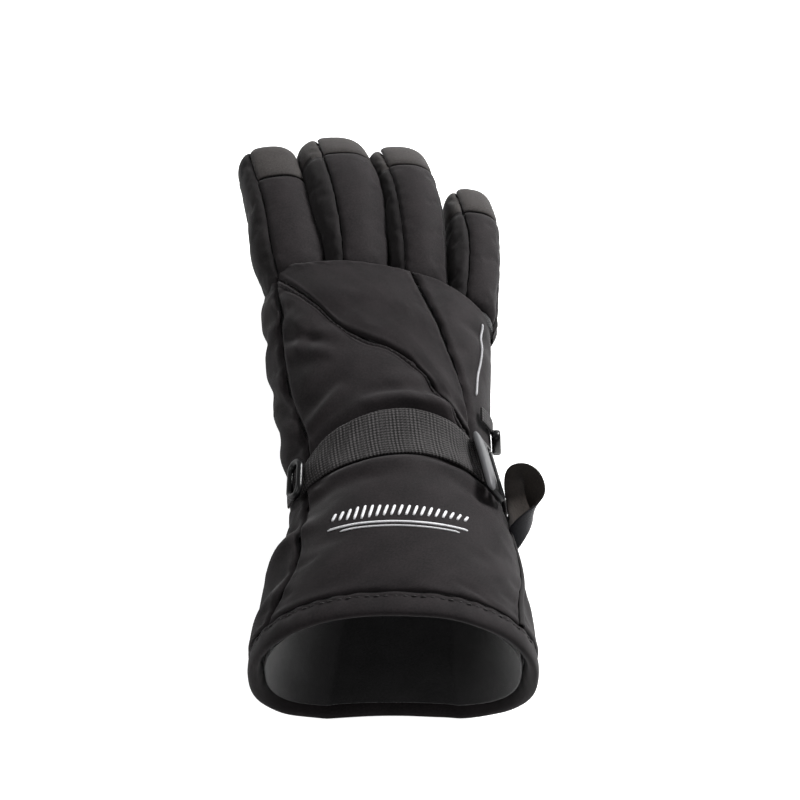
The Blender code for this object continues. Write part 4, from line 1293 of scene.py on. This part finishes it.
def satin(verts, faces, points, half):
    """Adds a band along points in (x, y), half mm wide each side, low at its ends."""
    places, ups = on_panel(PANELS["gauntlet_back_panel"],
                           [skin(turn_at(x, y), y) for x, y in points], 0.0)
    side = np.cross(ups, unit(np.gradient(places, axis=0)))
    faces += tube_faces(len(places), len(SATIN), len(verts))
    for i in range(len(places)):
        inner = 0 < i < len(places) - 1
        section = SATIN * ((half, 1.0) if inner else (half * 0.65, 0.3))
        verts.extend(places[i] + section @ np.array([side[i], ups[i]]))


def emblem():
    """Slanted bars that grow and shrink along an arc, over a line and a finer second line."""
    verts, faces = [], []
    for k in range(BARS):
        share = k / (BARS - 1)
        x = -25.0 + 58.5 * share
        y = -107.6 + 1.6 * math.cos((share - 0.5) * 2.4)
        tall = (1.1 + 1.7 * math.sin(math.pi * (0.12 + 0.8 * share))
                + 1.3 * bell(share - 0.2, 0.13))
        satin(verts, faces, np.linspace((x - 0.9, y - tall), (x + 0.9, y + tall), 6), 0.7)
    line = [(-28.0 + 62.0 * share, -114.2 + 1.7 * math.cos((share - 0.5) * 2.4))
            for share in np.linspace(0, 1, 40)]
    satin(verts, faces, line, 0.5)
    satin(verts, faces, [(x + 1.0, y - 2.4) for x, y in line[3:-3]], 0.32)
    assign(raw_object("emblem_satin_stitch", metres(verts), faces, WHITE),
           "emblem")


emblem()

# ---------------------------------------------------------------- stage, light, camera (metres)


def studio_floor():
    """A pale floor that curves up into a wall behind the glove."""
    material, tree, shader = node_material("studio_floor")
    patches = add_node(tree, "ShaderNodeTexNoise", Scale=3.0, Detail=2.0).outputs["Fac"]
    tree.links.new(mix_colour(tree, patches, (0.88, 0.88, 0.88), (0.92, 0.92, 0.92)),
                   shader.inputs["Base Color"])
    set_inputs(shader, Roughness=0.6, Emission_Color=(1, 1, 1, 1))
    # the floor glows for the camera, and hardly lights the glove
    seen = tree.nodes.new("ShaderNodeLightPath").outputs["Is Camera Ray"]
    glow = calc(tree, "ADD", calc(tree, "MULTIPLY", seen, 0.75), 0.08)
    tree.links.new(glow, shader.inputs["Emission Strength"])
    curve = [(1.6 + 1.2 * math.sin(angle), 1.2 - 1.2 * math.cos(angle))
             for angle in np.linspace(0, QUARTER, 16)]
    section = [(-5.0, 0.0)] + curve + [(2.8, 5.0)]
    verts = [(x, y, z - 0.0004) for y, z in section for x in (-6.0, 6.0)]
    faces = [(i * 2, i * 2 + 1, i * 2 + 3, i * 2 + 2) for i in range(len(section) - 1)]
    raw_object("floor", verts, faces, material)


def area(name, where, at, size, power):
    light = bpy.data.lights.new(name, "AREA")
    light.shape, light.size, light.energy, light.color = "DISK", size, power, (1, 1, 1)
    obj = bpy.data.objects.new(name, light)
    obj.location = where
    obj.rotation_mode = "QUATERNION"
    obj.rotation_quaternion = (Vector(at) - Vector(where)).to_track_quat("-Z", "Y")
    bpy.context.scene.collection.objects.link(obj)


def add_camera():
    """A long lens, looking down from the cuff end."""
    camera = bpy.data.cameras.new("camera")
    camera.sensor_width, camera.lens = 36.0, 106.65
    camera.shift_x, camera.shift_y = 0.01125, 0.00125
    obj = bpy.data.objects.new("camera", camera)
    elevation = math.radians(59.0)
    back = Vector((0.0, -math.cos(elevation), math.sin(elevation)))
    obj.location = Vector(metres((0.0, -20.0, 60.0))) + back * 1.15
    obj.rotation_mode = "QUATERNION"
    obj.rotation_quaternion = (-back).to_track_quat("-Z", "Y")
    camera.clip_start, camera.clip_end = 0.01, 50.0
    bpy.context.scene.collection.objects.link(obj)
    bpy.context.scene.camera = obj


studio_floor()
world = bpy.data.worlds.new("studio")
bpy.context.scene.world = world
world.use_nodes = True
background = next(n for n in world.node_tree.nodes if n.type == "BACKGROUND")
set_inputs(background, Color=(1.0, 1.0, 1.0, 1), Strength=0.16)
area("key", (0.75, 0.75, 0.75), at=(0, 0.12, 0.05), size=0.45, power=26.0)
area("fill", (-0.9, -0.1, 0.9), at=(0, 0.12, 0.05), size=0.7, power=4.0)
area("front", (0.3, -1.1, 0.8), at=(0, 0.1, 0.05), size=0.8, power=3.0)
add_camera()
bpy.context.scene.view_settings.view_transform = "Standard"
